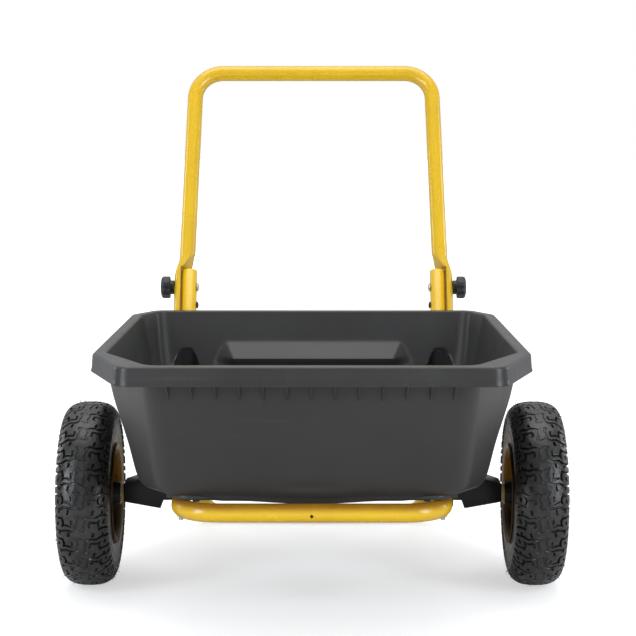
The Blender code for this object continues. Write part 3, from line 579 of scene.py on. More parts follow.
def path_frames(pts):
    """Tangents and a normal carried along the path without twisting."""
    n = len(pts)
    tang = []
    for i in range(n):
        a, b = pts[max(i - 1, 0)], pts[min(i + 1, n - 1)]
        tang.append((b - a).normalized())
    side = Vector((0, 0, 1)) if abs(tang[0].z) < 0.8 else Vector((1, 0, 0))
    nrm = (side - tang[0] * side.dot(tang[0])).normalized()
    frames = [(tang[0], nrm)]
    for i in range(1, n):
        q = tang[i - 1].rotation_difference(tang[i])
        nrm = (q @ nrm)
        nrm = (nrm - tang[i] * nrm.dot(tang[i])).normalized()
        frames.append((tang[i], nrm))
    return frames


def pipe(name, pts, radius, sides, wall=0.0, round_end=0.0):
    """Round bar, or a tube with open ends if wall is given."""
    pts = [Vector(p) for p in pts]
    frames = path_frames(pts)

    def ring(i, r, shift=0.0):
        t, nr = frames[i]
        b = t.cross(nr)
        return [world(pts[i] + t * shift + (nr * math.cos(a) + b * math.sin(a)) * r)
                for a in (2 * math.pi * k / sides for k in range(sides))]

    last = len(pts) - 1
    if wall:
        e = 0.45
        rings = [ring(0, radius - e)] + [ring(0, radius, e)] + [ring(i, radius) for i in range(1, last)]
        rings += [ring(last, radius, -e), ring(last, radius - e)]
        rings += [ring(last, radius - wall + e), ring(last, radius - wall, -e)]
        rings += [ring(i, radius - wall) for i in range(last - 1, 0, -1)]
        rings += [ring(0, radius - wall, e), ring(0, radius - wall + e)]
        return outward(rings_to_mesh(name, rings, closed_run=True))
    rings = []
    if round_end:
        rings += [ring(0, radius * 0.45), ring(0, radius * 0.85, round_end * 0.35)]
        rings += [ring(0, radius, round_end)] + [ring(i, radius) for i in range(1, last)]
        rings += [ring(last, radius, -round_end), ring(last, radius * 0.85, -round_end * 0.35), ring(last, radius * 0.45)]
    else:
        rings = [ring(i, radius) for i in range(len(pts))]
    return outward(rings_to_mesh(name, rings, cap_first=True, cap_last=True))


# ================================================================ frame tube
def make_main_frame():
    top = on_upright(PIVOT_S + UPRIGHT_TOP)
    corner = (rail_x(BAR_Y), BAR_Y, BAR_Z)
    right = [tuple(top), (UPRIGHT_X, REAR_Y, REAR_Z), corner]
    left = [(-x, y, z) for x, y, z in reversed(right)]
    pts = bent_path(right + left, [0, 100.0, 62.0, 62.0, 100.0, 0], 14)
    ob = pipe("frame_tube", pts, TUBE_R, 40, TUBE_WALL)
    # a slight flattening on the inner side of the front bends, as a mandrel leaves it
    for v in ob.data.vertices:
        x, y, z = v.co.x / MM, v.co.y / MM - AXLE_Y, v.co.z / MM
        if y < -190.0 and abs(x) > 150.0 and y > -300.0:
            cx, cy = 150.0, -199.0
            d = math.hypot(abs(x) - cx, y - cy)
            w = blend01(0.0, 25.0, abs(x) - cx) * blend01(0.0, 20.0, cy - y)
            if d < 62.0 - 6.0:
                v.co.z += (1.0 if z < BAR_Z else -1.0) * 0.35 * w * MM
    drain = rod("drain", (0.0, BAR_Y - TUBE_R, BAR_Z - 2.6), (0, 1, 0), 2.7, 12.0, 20)
    cut(ob, drain)
    # painted shade: weight of the brown darkening on the top of the front bar, just under the tray
    painted_bar_shade = []
    for v in ob.data.vertices:
        x, y, z = v.co.x / MM, v.co.y / MM - AXLE_Y, v.co.z / MM
        painted_bar_shade.append(blend01(rail_z(y) + 1.0, rail_z(y) + 13.0, z) * blend01(-150.0, -215.0, y) * (z < 215.0))
    ob.data.attributes.new("painted_bar_shade", "FLOAT", "POINT").data.foreach_set("value", painted_bar_shade)
    settle(ob, "chassis", "yellow_paint", ["main_frame"], 50.0, FRAME_PAINT)


# ================================================================ handle
def section_at(centre, normal, out, inn, half, n_out, n_in, sides, inn_front=None):
    """Cross-section in the loop's own frame; inn_front is the inner reach of its front half."""
    ring = []
    for k in range(sides):
        a = 2.0 * math.pi * k / sides
        c, s = math.cos(a), math.sin(a)
        n = n_out if c >= 0.0 else n_in
        if c >= 0.0:
            reach = out
        else:
            reach = inn if inn_front is None else lerp(inn, inn_front, blend01(-0.35, 0.25, -s))
        m = math.copysign(abs(c) ** (2.0 / n), c) * reach
        y = math.copysign(abs(s) ** (2.0 / n), s) * half
        ring.append((centre[0] + normal[0] * m, y, centre[1] + normal[1] * m))
    return ring


def mirror_rows(rows):
    out = []
    for c, n, *rest in reversed(rows):
        out.append(((-c[0], c[1]), (-n[0], n[1]), *rest))
    if abs(rows[-1][0][0]) < 1e-6:
        out = out[1:]
    return rows + out


def loop_to_world(rings, matrix):
    return [[world(matrix @ Vector(p)) for p in ring] for ring in rings]


# inner edge of the crushed end's transition, (distance along the loop, x), behind and in front
SCOOP_BACK = ((38.7, 268.3), (39.3, 254.0), (41.7, 249.0), (48.0, 246.7), (55.0, 244.8), (63.5, 243.0), (75.0, 240.6))
SCOOP_FRONT = ((38.7, 268.3), (39.3, 265.0), (41.0, 262.6), (45.0, 259.2), (50.0, 255.3), (55.0, 251.2), (60.0, 247.2),
               (64.0, 243.8), (68.0, 241.4), (75.0, 240.6))


def reach(table, s):
    if s <= table[0][0]:
        return table[0][1]
    for (s0, x0), (s1, x1) in zip(table, table[1:]):
        if s <= s1:
            return lerp(x0, x1, (s - s0) / (s1 - s0))
    return table[-1][1]


def make_handle():
    sides = 44
    rows = []
    tilt = (HANDLE_X_TOP - HANDLE_X_LOW) / (HANDLE_TOP_S - 78.0)
    along = Vector((tilt, 1.0)).normalized()
    outward_dir = (along.y, -along.x)
    levels = [CRUSH_END, CRUSH_END + 3, -40.0, -20.0, 0.0, 14.0, 20.0, 25.0, 30.0, 34.0, 37.0, 38.4, 38.9, 39.2, 39.5,
              40.0, 40.8, 41.7, 43.0, 44.5, 46.0, 47.5, 49.0, 51.0, 53.0, 55.0, 57.0, 59.0, 61.0, 63.0, 65.0, 67.5,
              70.0, 74.0, 78.0, 84.0]
    for s in levels:
        cx = HANDLE_X_LOW + tilt * (s - 78.0)
        x_out = CRUSH_OUT + (cx + TUBE_R - CRUSH_OUT) * blend01(18.0, 66.0, s)
        x_back = min(reach(SCOOP_BACK, s), CRUSH_IN) if s < 75.0 else cx - TUBE_R
        x_front = min(reach(SCOOP_FRONT, s), CRUSH_IN) if s < 75.0 else cx - TUBE_R
        mid = 272.4 + (cx - 272.4) * blend01(34.0, 66.0, s)
        half = CRUSH_HALF + (TUBE_R - CRUSH_HALF) * blend01(30.0, 78.0, s)
        n_in = 7.0 + (2.0 - 7.0) * blend01(40.0, 66.0, s)
        rows.append(((mid, s), (1.0, 0.0), x_out - mid, mid - x_back, half, 2.0, n_in, mid - x_front))
    corner = Vector((HANDLE_X_TOP, HANDLE_TOP_S))
    turn = math.pi / 2.0 + math.atan(tilt)
    trim = HANDLE_BEND * math.tan(turn / 2.0)
    start = corner - along * trim
    centre = start - Vector(outward_dir) * HANDLE_BEND
    base = math.atan2(outward_dir[1], outward_dir[0])
    seg = 16
    for k in range(1, 5):
        f = k / 5.0
        p = Vector((HANDLE_X_LOW + tilt * 6.0, 84.0)).lerp(start, f)
        rows.append(((p.x, p.y), outward_dir, TUBE_R, TUBE_R, TUBE_R, 2.0, 2.0, TUBE_R))
    for k in range(seg + 1):
        a = base + turn * k / seg
        n = (math.cos(a), math.sin(a))
        rows.append(((centre.x + n[0] * HANDLE_BEND, centre.y + n[1] * HANDLE_BEND), n,
                     TUBE_R, TUBE_R, TUBE_R, 2.0, 2.0, TUBE_R))
    for x in (120.0, 60.0):
        rows.append(((x, HANDLE_TOP_S), (0.0, 1.0), TUBE_R, TUBE_R, TUBE_R, 2.0, 2.0, TUBE_R))
    rows.append(((0.0, HANDLE_TOP_S), (0.0, 1.0), TUBE_R, TUBE_R, TUBE_R, 2.0, 2.0, TUBE_R))
    rows = mirror_rows(rows)
    rings = [section_at(r[0], r[1], r[2], r[3], r[4], r[5], r[6], sides, r[7]) for r in rows]

    def lip(row, inset, lift):
        c, n, out, inn, half, n_out, n_in, inf = row
        return section_at((c[0], c[1] + lift), n, out - inset, inn - inset, half - inset, n_out, n_in, sides, inf - inset)

    first, last = rows[0], rows[-1]
    rings = ([lip(first, 1.6, 14.0), lip(first, 1.6, 0.4), lip(first, 0.9, 0.0)] + rings
             + [lip(last, 0.9, 0.0), lip(last, 1.6, 0.4), lip(last, 1.6, 14.0)])
    m = Matrix.Translation(Vector((0.0, PIVOT.y, PIVOT.z))) @ Matrix.Rotation(-LEAN, 4, "X")
    ob = outward(rings_to_mesh("handle_tube", loop_to_world(rings, m), cap_first=True, cap_last=True))
    settle(ob, "handle", "yellow_paint", ["handle"], 34.0)


# ================================================================ rear stand
def make_stand():
    sides = 40
    run = math.hypot(FOOT_Y - STAND_TOP.y, STAND_TOP.z - TUBE_R)
    rake = math.atan2(FOOT_Y - STAND_TOP.y, STAND_TOP.z - TUBE_R)
    flat_out = UPRIGHT_X - TUBE_R - GAP
    flat_in = flat_out - 6.0
    rows = []
    for t in (-20.0, -17.5, 0.0, 16.0, 22.0, 27.0, 31.0, 35.0, 39.0, 43.0, 47.0, 51.0, 55.0, 60.0, 66.0):
        f = blend01(22.0, 60.0, t)
        x_out = flat_out + (STAND_X + TUBE_R - flat_out) * f
        x_in = flat_in + (STAND_X - TUBE_R - flat_in) * f
        mid = (x_out + x_in) / 2.0
        half = 21.5 + (TUBE_R - 21.5) * f
        power = 3.6 + (2.0 - 3.6) * f
        rows.append(((mid, -t), (1.0, 0.0), x_out - mid, mid - x_in, half, power, power, mid - x_in))
    bend, seg = 62.0, 16
    centre = (STAND_X - bend, -(run - bend))
    for k in range(seg + 1):
        a = -math.pi / 2.0 * k / seg
        n = (math.cos(a), math.sin(a))
        rows.append(((centre[0] + n[0] * bend, centre[1] + n[1] * bend), n,
                     TUBE_R, TUBE_R, TUBE_R, 2.0, 2.0, TUBE_R))
    rows.append(((0.0, -run), (0.0, -1.0), TUBE_R, TUBE_R, TUBE_R, 2.0, 2.0, TUBE_R))
    rows = mirror_rows(rows)
    rings = [section_at(r[0], r[1], r[2], r[3], r[4], r[5], r[6], sides, r[7]) for r in rows]

    def lip(row, inset, sink):
        c, n, out, inn, half, n_out, n_in, inf = row
        return section_at((c[0], c[1] - sink), n, out - inset, inn - inset, half - inset, n_out, n_in, sides, inf - inset)

    first, last = rows[0], rows[-1]
    rings = ([lip(first, 1.5, 8.0), lip(first, 1.5, 0.4), lip(first, 0.8, 0.0)] + rings
             + [lip(last, 0.8, 0.0), lip(last, 1.5, 0.4), lip(last, 1.5, 8.0)])
    m = Matrix.Translation(Vector((0.0, STAND_TOP.y, STAND_TOP.z))) @ Matrix.Rotation(rake, 4, "X")
    ob = outward(rings_to_mesh("stand_tube", loop_to_world(rings, m), cap_first=True, cap_last=True))
    settle(ob, "chassis", "yellow_paint", ["rear_stand"], 34.0)
    leg = Vector((0.0, math.sin(rake), -math.cos(rake)))
    return STAND_TOP + leg * BRACE_T


# ================================================================ tray
def corner_arcs(corners, radius, seg):
    n = len(corners)
    out = []
    for i in range(n):
        a, b, c = (Vector(corners[(i + k) % n]) for k in (-1, 0, 1))
        u, v = (a - b).normalized(), (c - b).normalized()
        half = u.angle(v) / 2.0
        trim = radius / math.tan(half)
        centre = b + (u + v).normalized() * (radius / math.sin(half))
        p, q = b + u * trim - centre, b + v * trim - centre
        a0 = math.atan2(p.y, p.x)
        sweep = (math.atan2(q.y, q.x) - a0 + math.pi) % (2.0 * math.pi) - math.pi
        out.append([(centre.x + radius * math.cos(a0 + sweep * k / seg),
                     centre.y + radius * math.sin(a0 + sweep * k / seg)) for k in range(seg + 1)])
    return out


RIB_X = [38.0 * k for k in range(-6, 7)]


def front_stations():
    """Places along the front edge, right half, from the middle outwards."""
    xs = set([0.0, 14.0, 24.0])
    for x in RIB_X:
        if x >= 0:
            for d in (-5.0, -2.6, -1.0, 1.0, 2.6, 5.0):
                if x + d > 0:
                    xs.add(x + d)
        xs.add(abs(x) + 19.0 if abs(x) < 220 else abs(x))
    return sorted(xs)


FRONT_X = front_stations()
BACK_X = [0.0, 40.0, 80.0, 110.0, 135.0, 148.0, 152.0, 155.0, 158.0, 161.0, 164.0, 167.0, 170.0, 173.0, 176.0, 180.0,
          185.0, 190.0, 195.0, 199.0, 203.0, 206.0, 209.0, 213.0]
BACK_TAIL = 16
SEG = 11


def ring_plan(row):
    """Plan points of one level: [(x, y)], starting at the front's middle."""
    f, s, b, k, radius = (row[0], row[1]), (row[2], row[3]), (row[4], row[5]), (row[6], row[7]), row[9]
    corners = [f, s, b, k, (-k[0], k[1]), (-b[0], b[1]), (-s[0], s[1]), (-f[0], f[1])]
    arcs = corner_arcs(corners, radius, SEG)
    x_end = arcs[0][0][0]
    scale = min(1.0, (x_end - 3.0) / 233.0)
    pts = [(x * scale, f[1]) for x in FRONT_X]
    pts += arcs[0]

    def run(p, q, n):
        return [(lerp(p[0], q[0], i / n), lerp(p[1], q[1], i / n)) for i in range(1, n)]

    pts += run(arcs[0][-1], arcs[1][0], 6) + arcs[1]
    pts += run(arcs[1][-1], arcs[2][0], 12) + arcs[2]
    pts += run(arcs[2][-1], arcs[3][0], 4) + arcs[3]
    x_back = arcs[3][-1][0]
    shrink = min(1.0, (x_back - 8.0) / 221.0)
    tail = [lerp(x_back, BACK_X[-1] * shrink, i / BACK_TAIL) for i in range(1, BACK_TAIL)]
    half = [(x, k[1]) for x in tail] + [(x * shrink, k[1]) for x in reversed(BACK_X)]
    pts += half
    left = [(-x, y) for x, y in reversed(pts[1:-1])]
    return pts + left


def shifted(row, d, dz=0.0):
    """The same level pushed out by d and up by dz."""
    f = list(row)
    f[0] += d * 0.7
    f[1] -= d
    f[2] += d
    f[3] -= d * 0.4
    f[4] += d
    f[5] += d * 0.4
    f[6] += d * 0.7
    f[7] += d
    f[8] += dz
    f[9] = max(2.0, f[9] + d)
    return f


def step_depth(x, z):
    """How far the moulded ledge stands in from the back wall."""
    rows = ((397.0, 0.0), (368.0, 29.0), (353.0, 15.5), (300.0, 20.0), (240.0, 10.0), (222.0, 4.0), (210.0, 0.0))

    def raw(zz):
        if zz >= rows[0][0]:
            return 0.0
        for (z1, d1), (z0, d0) in zip(rows, rows[1:]):
            if zz >= z0:
                return lerp(d0, d1, (zz - z0) / (z1 - z0))
        return 0.0

    depth = sum(raw(z + o) * w for o, w in ((-2.4, 0.15), (-1.2, 0.22), (0.0, 0.26), (1.2, 0.22), (2.4, 0.15)))
    t = min(1.0, max(0.0, (397.0 - z) / 29.0))
    t2 = min(1.0, max(0.0, (397.0 - z) / 55.0))
    inner = lerp(170.0, 154.0, t)
    outer = lerp(176.0, 206.0, t2)
    ramp = min(1.0, max(0.0, (outer - abs(x)) / (outer - inner)))
    e = 0.14
    if ramp < e:
        ramp = ramp * ramp / (2 * e) / (1 - e)
    elif ramp > 1 - e:
        ramp = 1.0 - (1.0 - ramp) ** 2 / (2 * e) / (1 - e)
    else:
        ramp = (ramp - e / 2) / (1 - e)
    return depth * ramp


def pocket_depth(x, z):
    """Arch-topped relief beside the ledge, in front of each upright."""
    u = (abs(x) - 250.0) / lerp(16.0, 26.0, blend01(0.0, 36.0, 386.0 - z))
    if abs(u) >= 1.0:
        return 0.0
    top = 386.0 - 26.0 * (1.0 - math.sqrt(max(0.0, 1.0 - u ** 4)))
    side = 1.0 - abs(u)
    edge = blend01(0.0, 0.36, side) * blend01(0.0, 4.0, top - z)
    return edge * min(19.5, 1.5 + (top - z) * 0.44) * blend01(240.0, 330.0, z)


# where the pan's slope starts and ends across the floor, by depth: (y, foot, brow)
PAN = ((-260.0, 165.0, 206.0), (-222.0, 165.0, 206.0), (-196.0, 128.0, 154.0), (-182.0, 140.0, 164.0),
       (-160.0, 167.0, 188.0), (-152.0, 176.0, 188.0), (400.0, 176.0, 188.0))


def keel_weight(x, y):
    return (1.0 - blend01(20.0, 125.0, abs(x))) * (1.0 - blend01(-200.0, -178.0, y))


def floor_drop(x, y):
    """How far the pan and its keel hang below the floor's outer ledge."""
    for (y0, a0, b0), (y1, a1, b1) in zip(PAN, PAN[1:]):
        if y <= y1:
            t = max(0.0, (y - y0) / (y1 - y0))
            foot, brow = lerp(a0, a1, t), lerp(b0, b1, t)
            break
    m = min((brow - abs(x)) / (brow - foot), (196.0 - y) / 12.0,
            ((188.0 - abs(x)) * 31.0 + (165.0 - y) * 38.0) / 49.04 / 11.7)
    return BELLY * blend01(0.0, 1.0, m) + KEEL * keel_weight(x, y)


def make_tray():
    # one row per level: front x,y  side x,y  back-side x,y  back x,y  z  radius  dip nose sag
    body = [
        (258.0, -393.0, 341.0, -240.0, 333.0, 294.0, 303.0, 356.0, 451.0, 30.0, 0.0, 0.0, 0.0),
        (257.0, -360.0, 331.0, -230.0, 323.0, 283.0, 297.0, 334.6, 397.0, 32.0, 0.0, 0.0, 0.0),
        (256.0, -342.0, 325.0, -223.0, 317.0, 277.0, 293.0, 323.1, 368.0, 33.0, 0.0, 0.0, 0.0),
        (254.0, -300.0, 307.0, -206.0, 301.0, 258.0, 285.0, 296.0, 300.0, 34.0, 0.0, 0.0, 0.0),
        (250.0, -263.0, 294.0, -190.0, 290.0, 240.0, 275.0, 272.0, 240.0, 35.0, 0.0, 1.5, 0.0),
        (240.0, -247.0, 284.0, -184.0, 280.0, 230.0, 262.0, 260.0, 221.0, 34.0, 0.5 * KEEL, 4.0, 1.0),
        (218.0, -222.0, 266.0, -176.0, 264.0, 204.0, 240.0, 236.0, FLOOR_Z, 30.0, KEEL, 16.0, BELLY),
    ]
    fine = []
    for i in range(len(body) - 1):
        chunk = catmull([body[max(i - 1, 0)], body[i], body[i + 1], body[min(i + 2, len(body) - 1)]], 1)
        p0, p1, p2, p3 = chunk[0], chunk[1], chunk[2], chunk[-1]
        steps = (10, 12, 14, 10, 7, 7)[i]
        for k in range(steps):
            t = k / steps
            t2, t3 = t * t, t * t * t
            fine.append([0.5 * (2 * b + (c - a) * t + (2 * a - 5 * b + 4 * c - d) * t2
                                + (3 * b - a - 3 * c + d) * t3)
                         for a, b, c, d in zip(p0, p1, p2, p3)])
    fine.append(list(body[-1]))
    for row in fine:
        row[8] = max(row[8], FLOOR_Z)
        for i in (10, 11, 12):
            row[i] = max(0.0, row[i])

    rim = [304.0, -418.5, 362.5, -252.0, 355.0, 303.7, 315.6, 379.4, RIM_Z, 30.0, 0.0, 0.0, 0.0]

    def at(row, d, z):
        r = shifted(row, d)
        r[8] = z
        return r

    low = RIM_Z - SKIRT
    rows = []
    # skirt, from its lower lip up and over the flange
    rows.append(("skirt", at(rim, 0.6, low + 0.2)))
    rows.append(("skirt", at(rim, 1.9, low)))
    rows.append(("skirt", at(rim, 2.7, low + 0.7)))
    rows.append(("skirt", at(rim, 2.7, low + 2.2)))
    for f in (0.15, 0.3, 0.45, 0.6, 0.75, 0.9):
        rows.append(("skirt", at(rim, lerp(1.7, 0.0, f), lerp(low + 3.2, RIM_Z - 5.0, f))))
    for a in (0.0, 15.0, 30.0, 45.0, 60.0, 75.0, 90.0):
        c, s = math.cos(math.radians(a)), math.sin(math.radians(a))
        rows.append(("skirt" if a < 20 else "rim", at(rim, -5.0 + 5.0 * c, RIM_Z - 5.0 + 5.0 * s)))
    top = body[0]
    rows.append(("rim", at(rim, -9.0, RIM_Z)))
    rows.append(("rim", at(top, 6.5, RIM_Z)))
    for a in (90.0, 72.0, 54.0, 36.0, 18.0):
        c, s = math.cos(math.radians(a)), math.sin(math.radians(a))
        rows.append(("rim", at(top, 4.0 - 4.0 * c, RIM_Z - 4.0 + 4.0 * s)))
    inner_rows = [("wall", r) for r in fine]
    floor = [("floor", [*plan, FLOOR_Z, radius, 0.0, nose, 0.0]) for plan, radius, nose in (
        ((213.0, -218.0, 261.0, -173.0, 259.0, 201.0, 235.0, 231.0), 30.0, 14.0),
        ((196.0, -212.0, 242.0, -169.0, 241.0, 191.0, 212.0, 221.0), 26.0, 9.0),
        ((172.0, -205.0, 212.0, -165.0, 212.0, 177.0, 178.0, 208.0), 20.0, 3.5),
        ((154.0, -199.0, 192.0, -163.0, 192.0, 168.0, 154.0, 200.0), 17.0, 0.0),
        ((151.0, -196.5, 188.5, -160.5, 188.5, 165.5, 151.0, 196.5), 16.0, 0.0),
        ((148.5, -193.0, 185.5, -158.5, 185.5, 163.0, 148.5, 193.5), 15.6, 0.0),
        ((145.5, -189.0, 182.5, -156.5, 182.5, 160.0, 145.5, 190.5), 15.2, 0.0),
        ((142.5, -185.0, 179.0, -154.0, 179.0, 157.0, 142.5, 187.0), 14.8, 0.0),
        ((140.0, -182.0, 176.0, -152.0, 176.0, 155.0, 140.0, 184.0), 14.0, 0.0),
        ((137.0, -177.0, 172.0, -149.0, 172.0, 152.0, 137.0, 180.0), 13.6, 0.0),
        ((100.0, -130.0, 126.0, -108.0, 126.0, 110.0, 100.0, 132.0), 10.0, 0.0))]
    upper = rows + inner_rows + floor
    # the underside: floor, outer wall, below the flange, back of the skirt
    under = []
    for kind, r in reversed(floor):
        q = shifted(r, 1.0, -TRAY_WALL)
        under.append(("under", q))
    for i in range(len(fine) - 1, 0, -1):
        a, b = fine[max(i - 1, 0)], fine[min(i + 1, len(fine) - 1)]
        dy, dz = b[1] - a[1], b[8] - a[8]
        ln = math.hypot(dy, dz)
        ny, nz = abs(dz) / ln, abs(dy) / ln
        q = shifted(fine[i], TRAY_WALL * ny + 0.4, -TRAY_WALL * nz)
        if q[8] < RIM_Z - TRAY_WALL - 3.0:
            under.append(("outer", q))
    under.append(("outer", at(top, 5.6, RIM_Z - TRAY_WALL - 2.0)))
    under.append(("outer", at(top, 7.5, RIM_Z - TRAY_WALL)))
    under.append(("lip", at(rim, -8.5, RIM_Z - TRAY_WALL)))
    under.append(("lip", at(rim, -4.9, RIM_Z - TRAY_WALL - 1.2)))
    under.append(("lip", at(rim, -4.0, RIM_Z - TRAY_WALL - 4.0)))
    under.append(("lip", at(rim, -2.6, low + 1.0)))
    under.append(("lip", at(rim, -1.8, low + 0.2)))

    def level(kind, row):
        z, dip, nose, sag = row[8], row[10], row[11], row[12]
        plan = ring_plan(row)
        x_arc = max(x for x, y in plan if y < row[1] + 0.01)
        out = []
        for x, y in plan:
            yy, zz = y, z
            if y < 0 and (dip or nose or sag):
                w = 1.0 - blend01(min(150.0, x_arc - 30.0), x_arc + 2.0, abs(x))
                yy -= nose * w
                zz -= sag * w + dip * (1.0 - blend01(20.0, 125.0, abs(x)))
            if kind in ("floor", "under"):
                zz -= floor_drop(x, yy)
            if kind in ("wall", "outer", "floor", "under") and y > 120.0:
                zr = zz + (TRAY_WALL * 0.4 if kind in ("outer", "under") else 0.0)
                yy -= step_depth(x, zr)
                if z > 250.0:
                    yy += pocket_depth(x, zr) * blend01(200.0, 260.0, y)
            if kind in ("outer", "wall") and y < -150.0:
                # shallow sink over the belly, low in the middle of the front wall
                g = math.exp(-((x / 44.0) ** 4) - ((zz - 232.0) / 8.0) ** 2)
                yy += 1.6 * g
            if kind == "skirt" and y < -350.0:
                for rx in RIB_X:
                    d = abs(x - rx)
                    if d < 3.0:
                        yy += 0.30 * (1.0 - blend01(0.8, 3.0, d)) * (1.0 - blend01(RIM_Z - 9.0, RIM_Z - 3.0, zz))
            out.append(world((x, yy, zz)))
        return out

    rings = [level(k, r) for k, r in upper]
    ring_len = len(rings[0])
    n_up = len(rings)
    rings_under = [level(k, r) for k, r in under]
    verts = [p for ring in rings + rings_under for p in ring]
    faces = []
    total = n_up + len(rings_under)
    for i in range(total):
        if i == n_up - 1:
            continue
        a, b = i * ring_len, ((i + 1) % total) * ring_len
        for j in range(ring_len):
            k = (j + 1) % ring_len
            faces.append((a + j, a + k, b + k, b + j))
    faces.append(tuple((n_up - 1) * ring_len + j for j in range(ring_len)))
    faces.append(tuple(n_up * ring_len + j for j in range(ring_len)))
    shell = outward(mesh_piece("tray_shell", verts, faces))

    # gussets under the front flange
    ribs = []
    for rx in RIB_X:
        prof = fillet([(-415.4, RIM_Z - 4.0), (-416.4, low + 1.6, 1.0), (-361.5, 392.0, 0.4), (-391.5, 445.0), (-396.0, RIM_Z - 4.0)], 0.5, 1)
        verts, faces = [], []
        m = len(prof)
        for dx, inset in ((-1.35, 0.0), (1.35, 0.0)):
            for y, z in prof:
                verts.append(world((rx + dx, y, z)))
        faces.append(tuple(range(m)))
        faces.append(tuple(m + i for i in reversed(range(m))))
        for i in range(m):
            j = (i + 1) % m
            faces.append((j, i, m + i, m + j))
        ribs.append(outward(mesh_piece("gusset", verts, faces)))
    # feet moulded under the floor, notched to sit over the rails
    for side in (-1, 1):
        foot = rounded(block("foot", (side * 226.0, -192.0, 205.7), (40.0, 36.0, 9.6)), 1.4)
        mid = (side * rail_x(-192.0), -192.0, rail_z(-192.0))
        cut(foot, rod("notch", mid, (side * RAIL_TOE, 1.0, RAIL_RISE), TUBE_R + 0.5, 90.0, 48))
        cut(foot, rod("hole", (mid[0], -192.0, 205.0), (0, 0, 1), 4.6, 30.0, 24))
        ribs.append(outward(foot))
    # a lip along the floor's front edge, close over the bar
    face = [(x, -244.0, 0.0, -1.0) for x in (-205.0, -150.0, -100.0, -50.0, 0.0, 50.0, 100.0, 150.0, 205.0)]
    bend = [(205.0 + 30.0 * math.sin(a), -214.0 - 30.0 * math.cos(a), math.sin(a), -math.cos(a))
            for a in (math.radians(d) for d in (7.5, 15.0, 22.5, 30.0, 37.5, 45.0))]
    bend.append((234.7, -226.7, math.sqrt(0.5), -math.sqrt(0.5)))
    face = [(-x, y, -u, v) for x, y, u, v in reversed(bend)] + face + bend
    prof = [(-3.2, 213.6), (-0.8, 213.0), (0.0, 211.4), (0.0, 206.6), (-0.7, 205.0), (-2.2, 204.4), (-15.0, 204.4), (-15.0, 212.0)]
    lip = rings_to_mesh("lip", [[world((x + u * d, y + v * d, z)) for d, z in prof] for x, y, u, v in face],
                        cap_first=True, cap_last=True)
    ribs.append(outward(lip))
    ob = joined("tray_moulding", [shell] + ribs)
    settle(ob, "chassis", "tray_poly", ["tray"], 32.0)


# ================================================================ wheels
PITCHES = 25
PITCH = 42.0
# grooves of one pitch, half a tread wide: (from u, to u, from v, to v); the other half is this one turned round
GROOVES = [(-1.9, 1.9, 5.4, 64.0), (-1.9, 25.6, 5.4, 8.6), (22.4, 25.6, -4.0, 8.6), (23.2, 26.8, 30.2, 64.0),
           (8.0, 26.8, 30.2, 33.8), (8.0, 11.4, 14.6, 33.8), (8.0, 20.5, 14.6, 18.0), (30.0, 38.0, 20.4, 23.6),
           (8.6, 16.0, 41.6, 45.2), (34.6, 42.2, 39.0, 42.2),
           (-3.4, 3.4, 48.0, 64.0), (21.6, 28.4, 48.0, 64.0)]
GROOVES += [(21.0 - b, 21.0 - a, -d, -c) for a, b, c, d in GROOVES]
U_EDGES = sorted({round(e % PITCH, 3) for a, b, c, d in GROOVES for e in (a, b)})
V_EDGES = sorted({e for a, b, c, d in GROOVES for e in (c, d)})


def inside_block(u, v):
    """Distance to the nearest groove, positive on a block."""
    best = 99.0
    for a, b, c, d in GROOVES:
        for shift in (-PITCH, 0.0, PITCH):
            uu = u + shift
            best = min(best, max(a - uu, uu - b, c - v, v - d))
    return best


def groove_depth(v):
    return lerp(lerp(1.4, 4.8, blend01(8.0, 30.0, abs(v))), 3.4, blend01(46.0, 60.0, abs(v)))


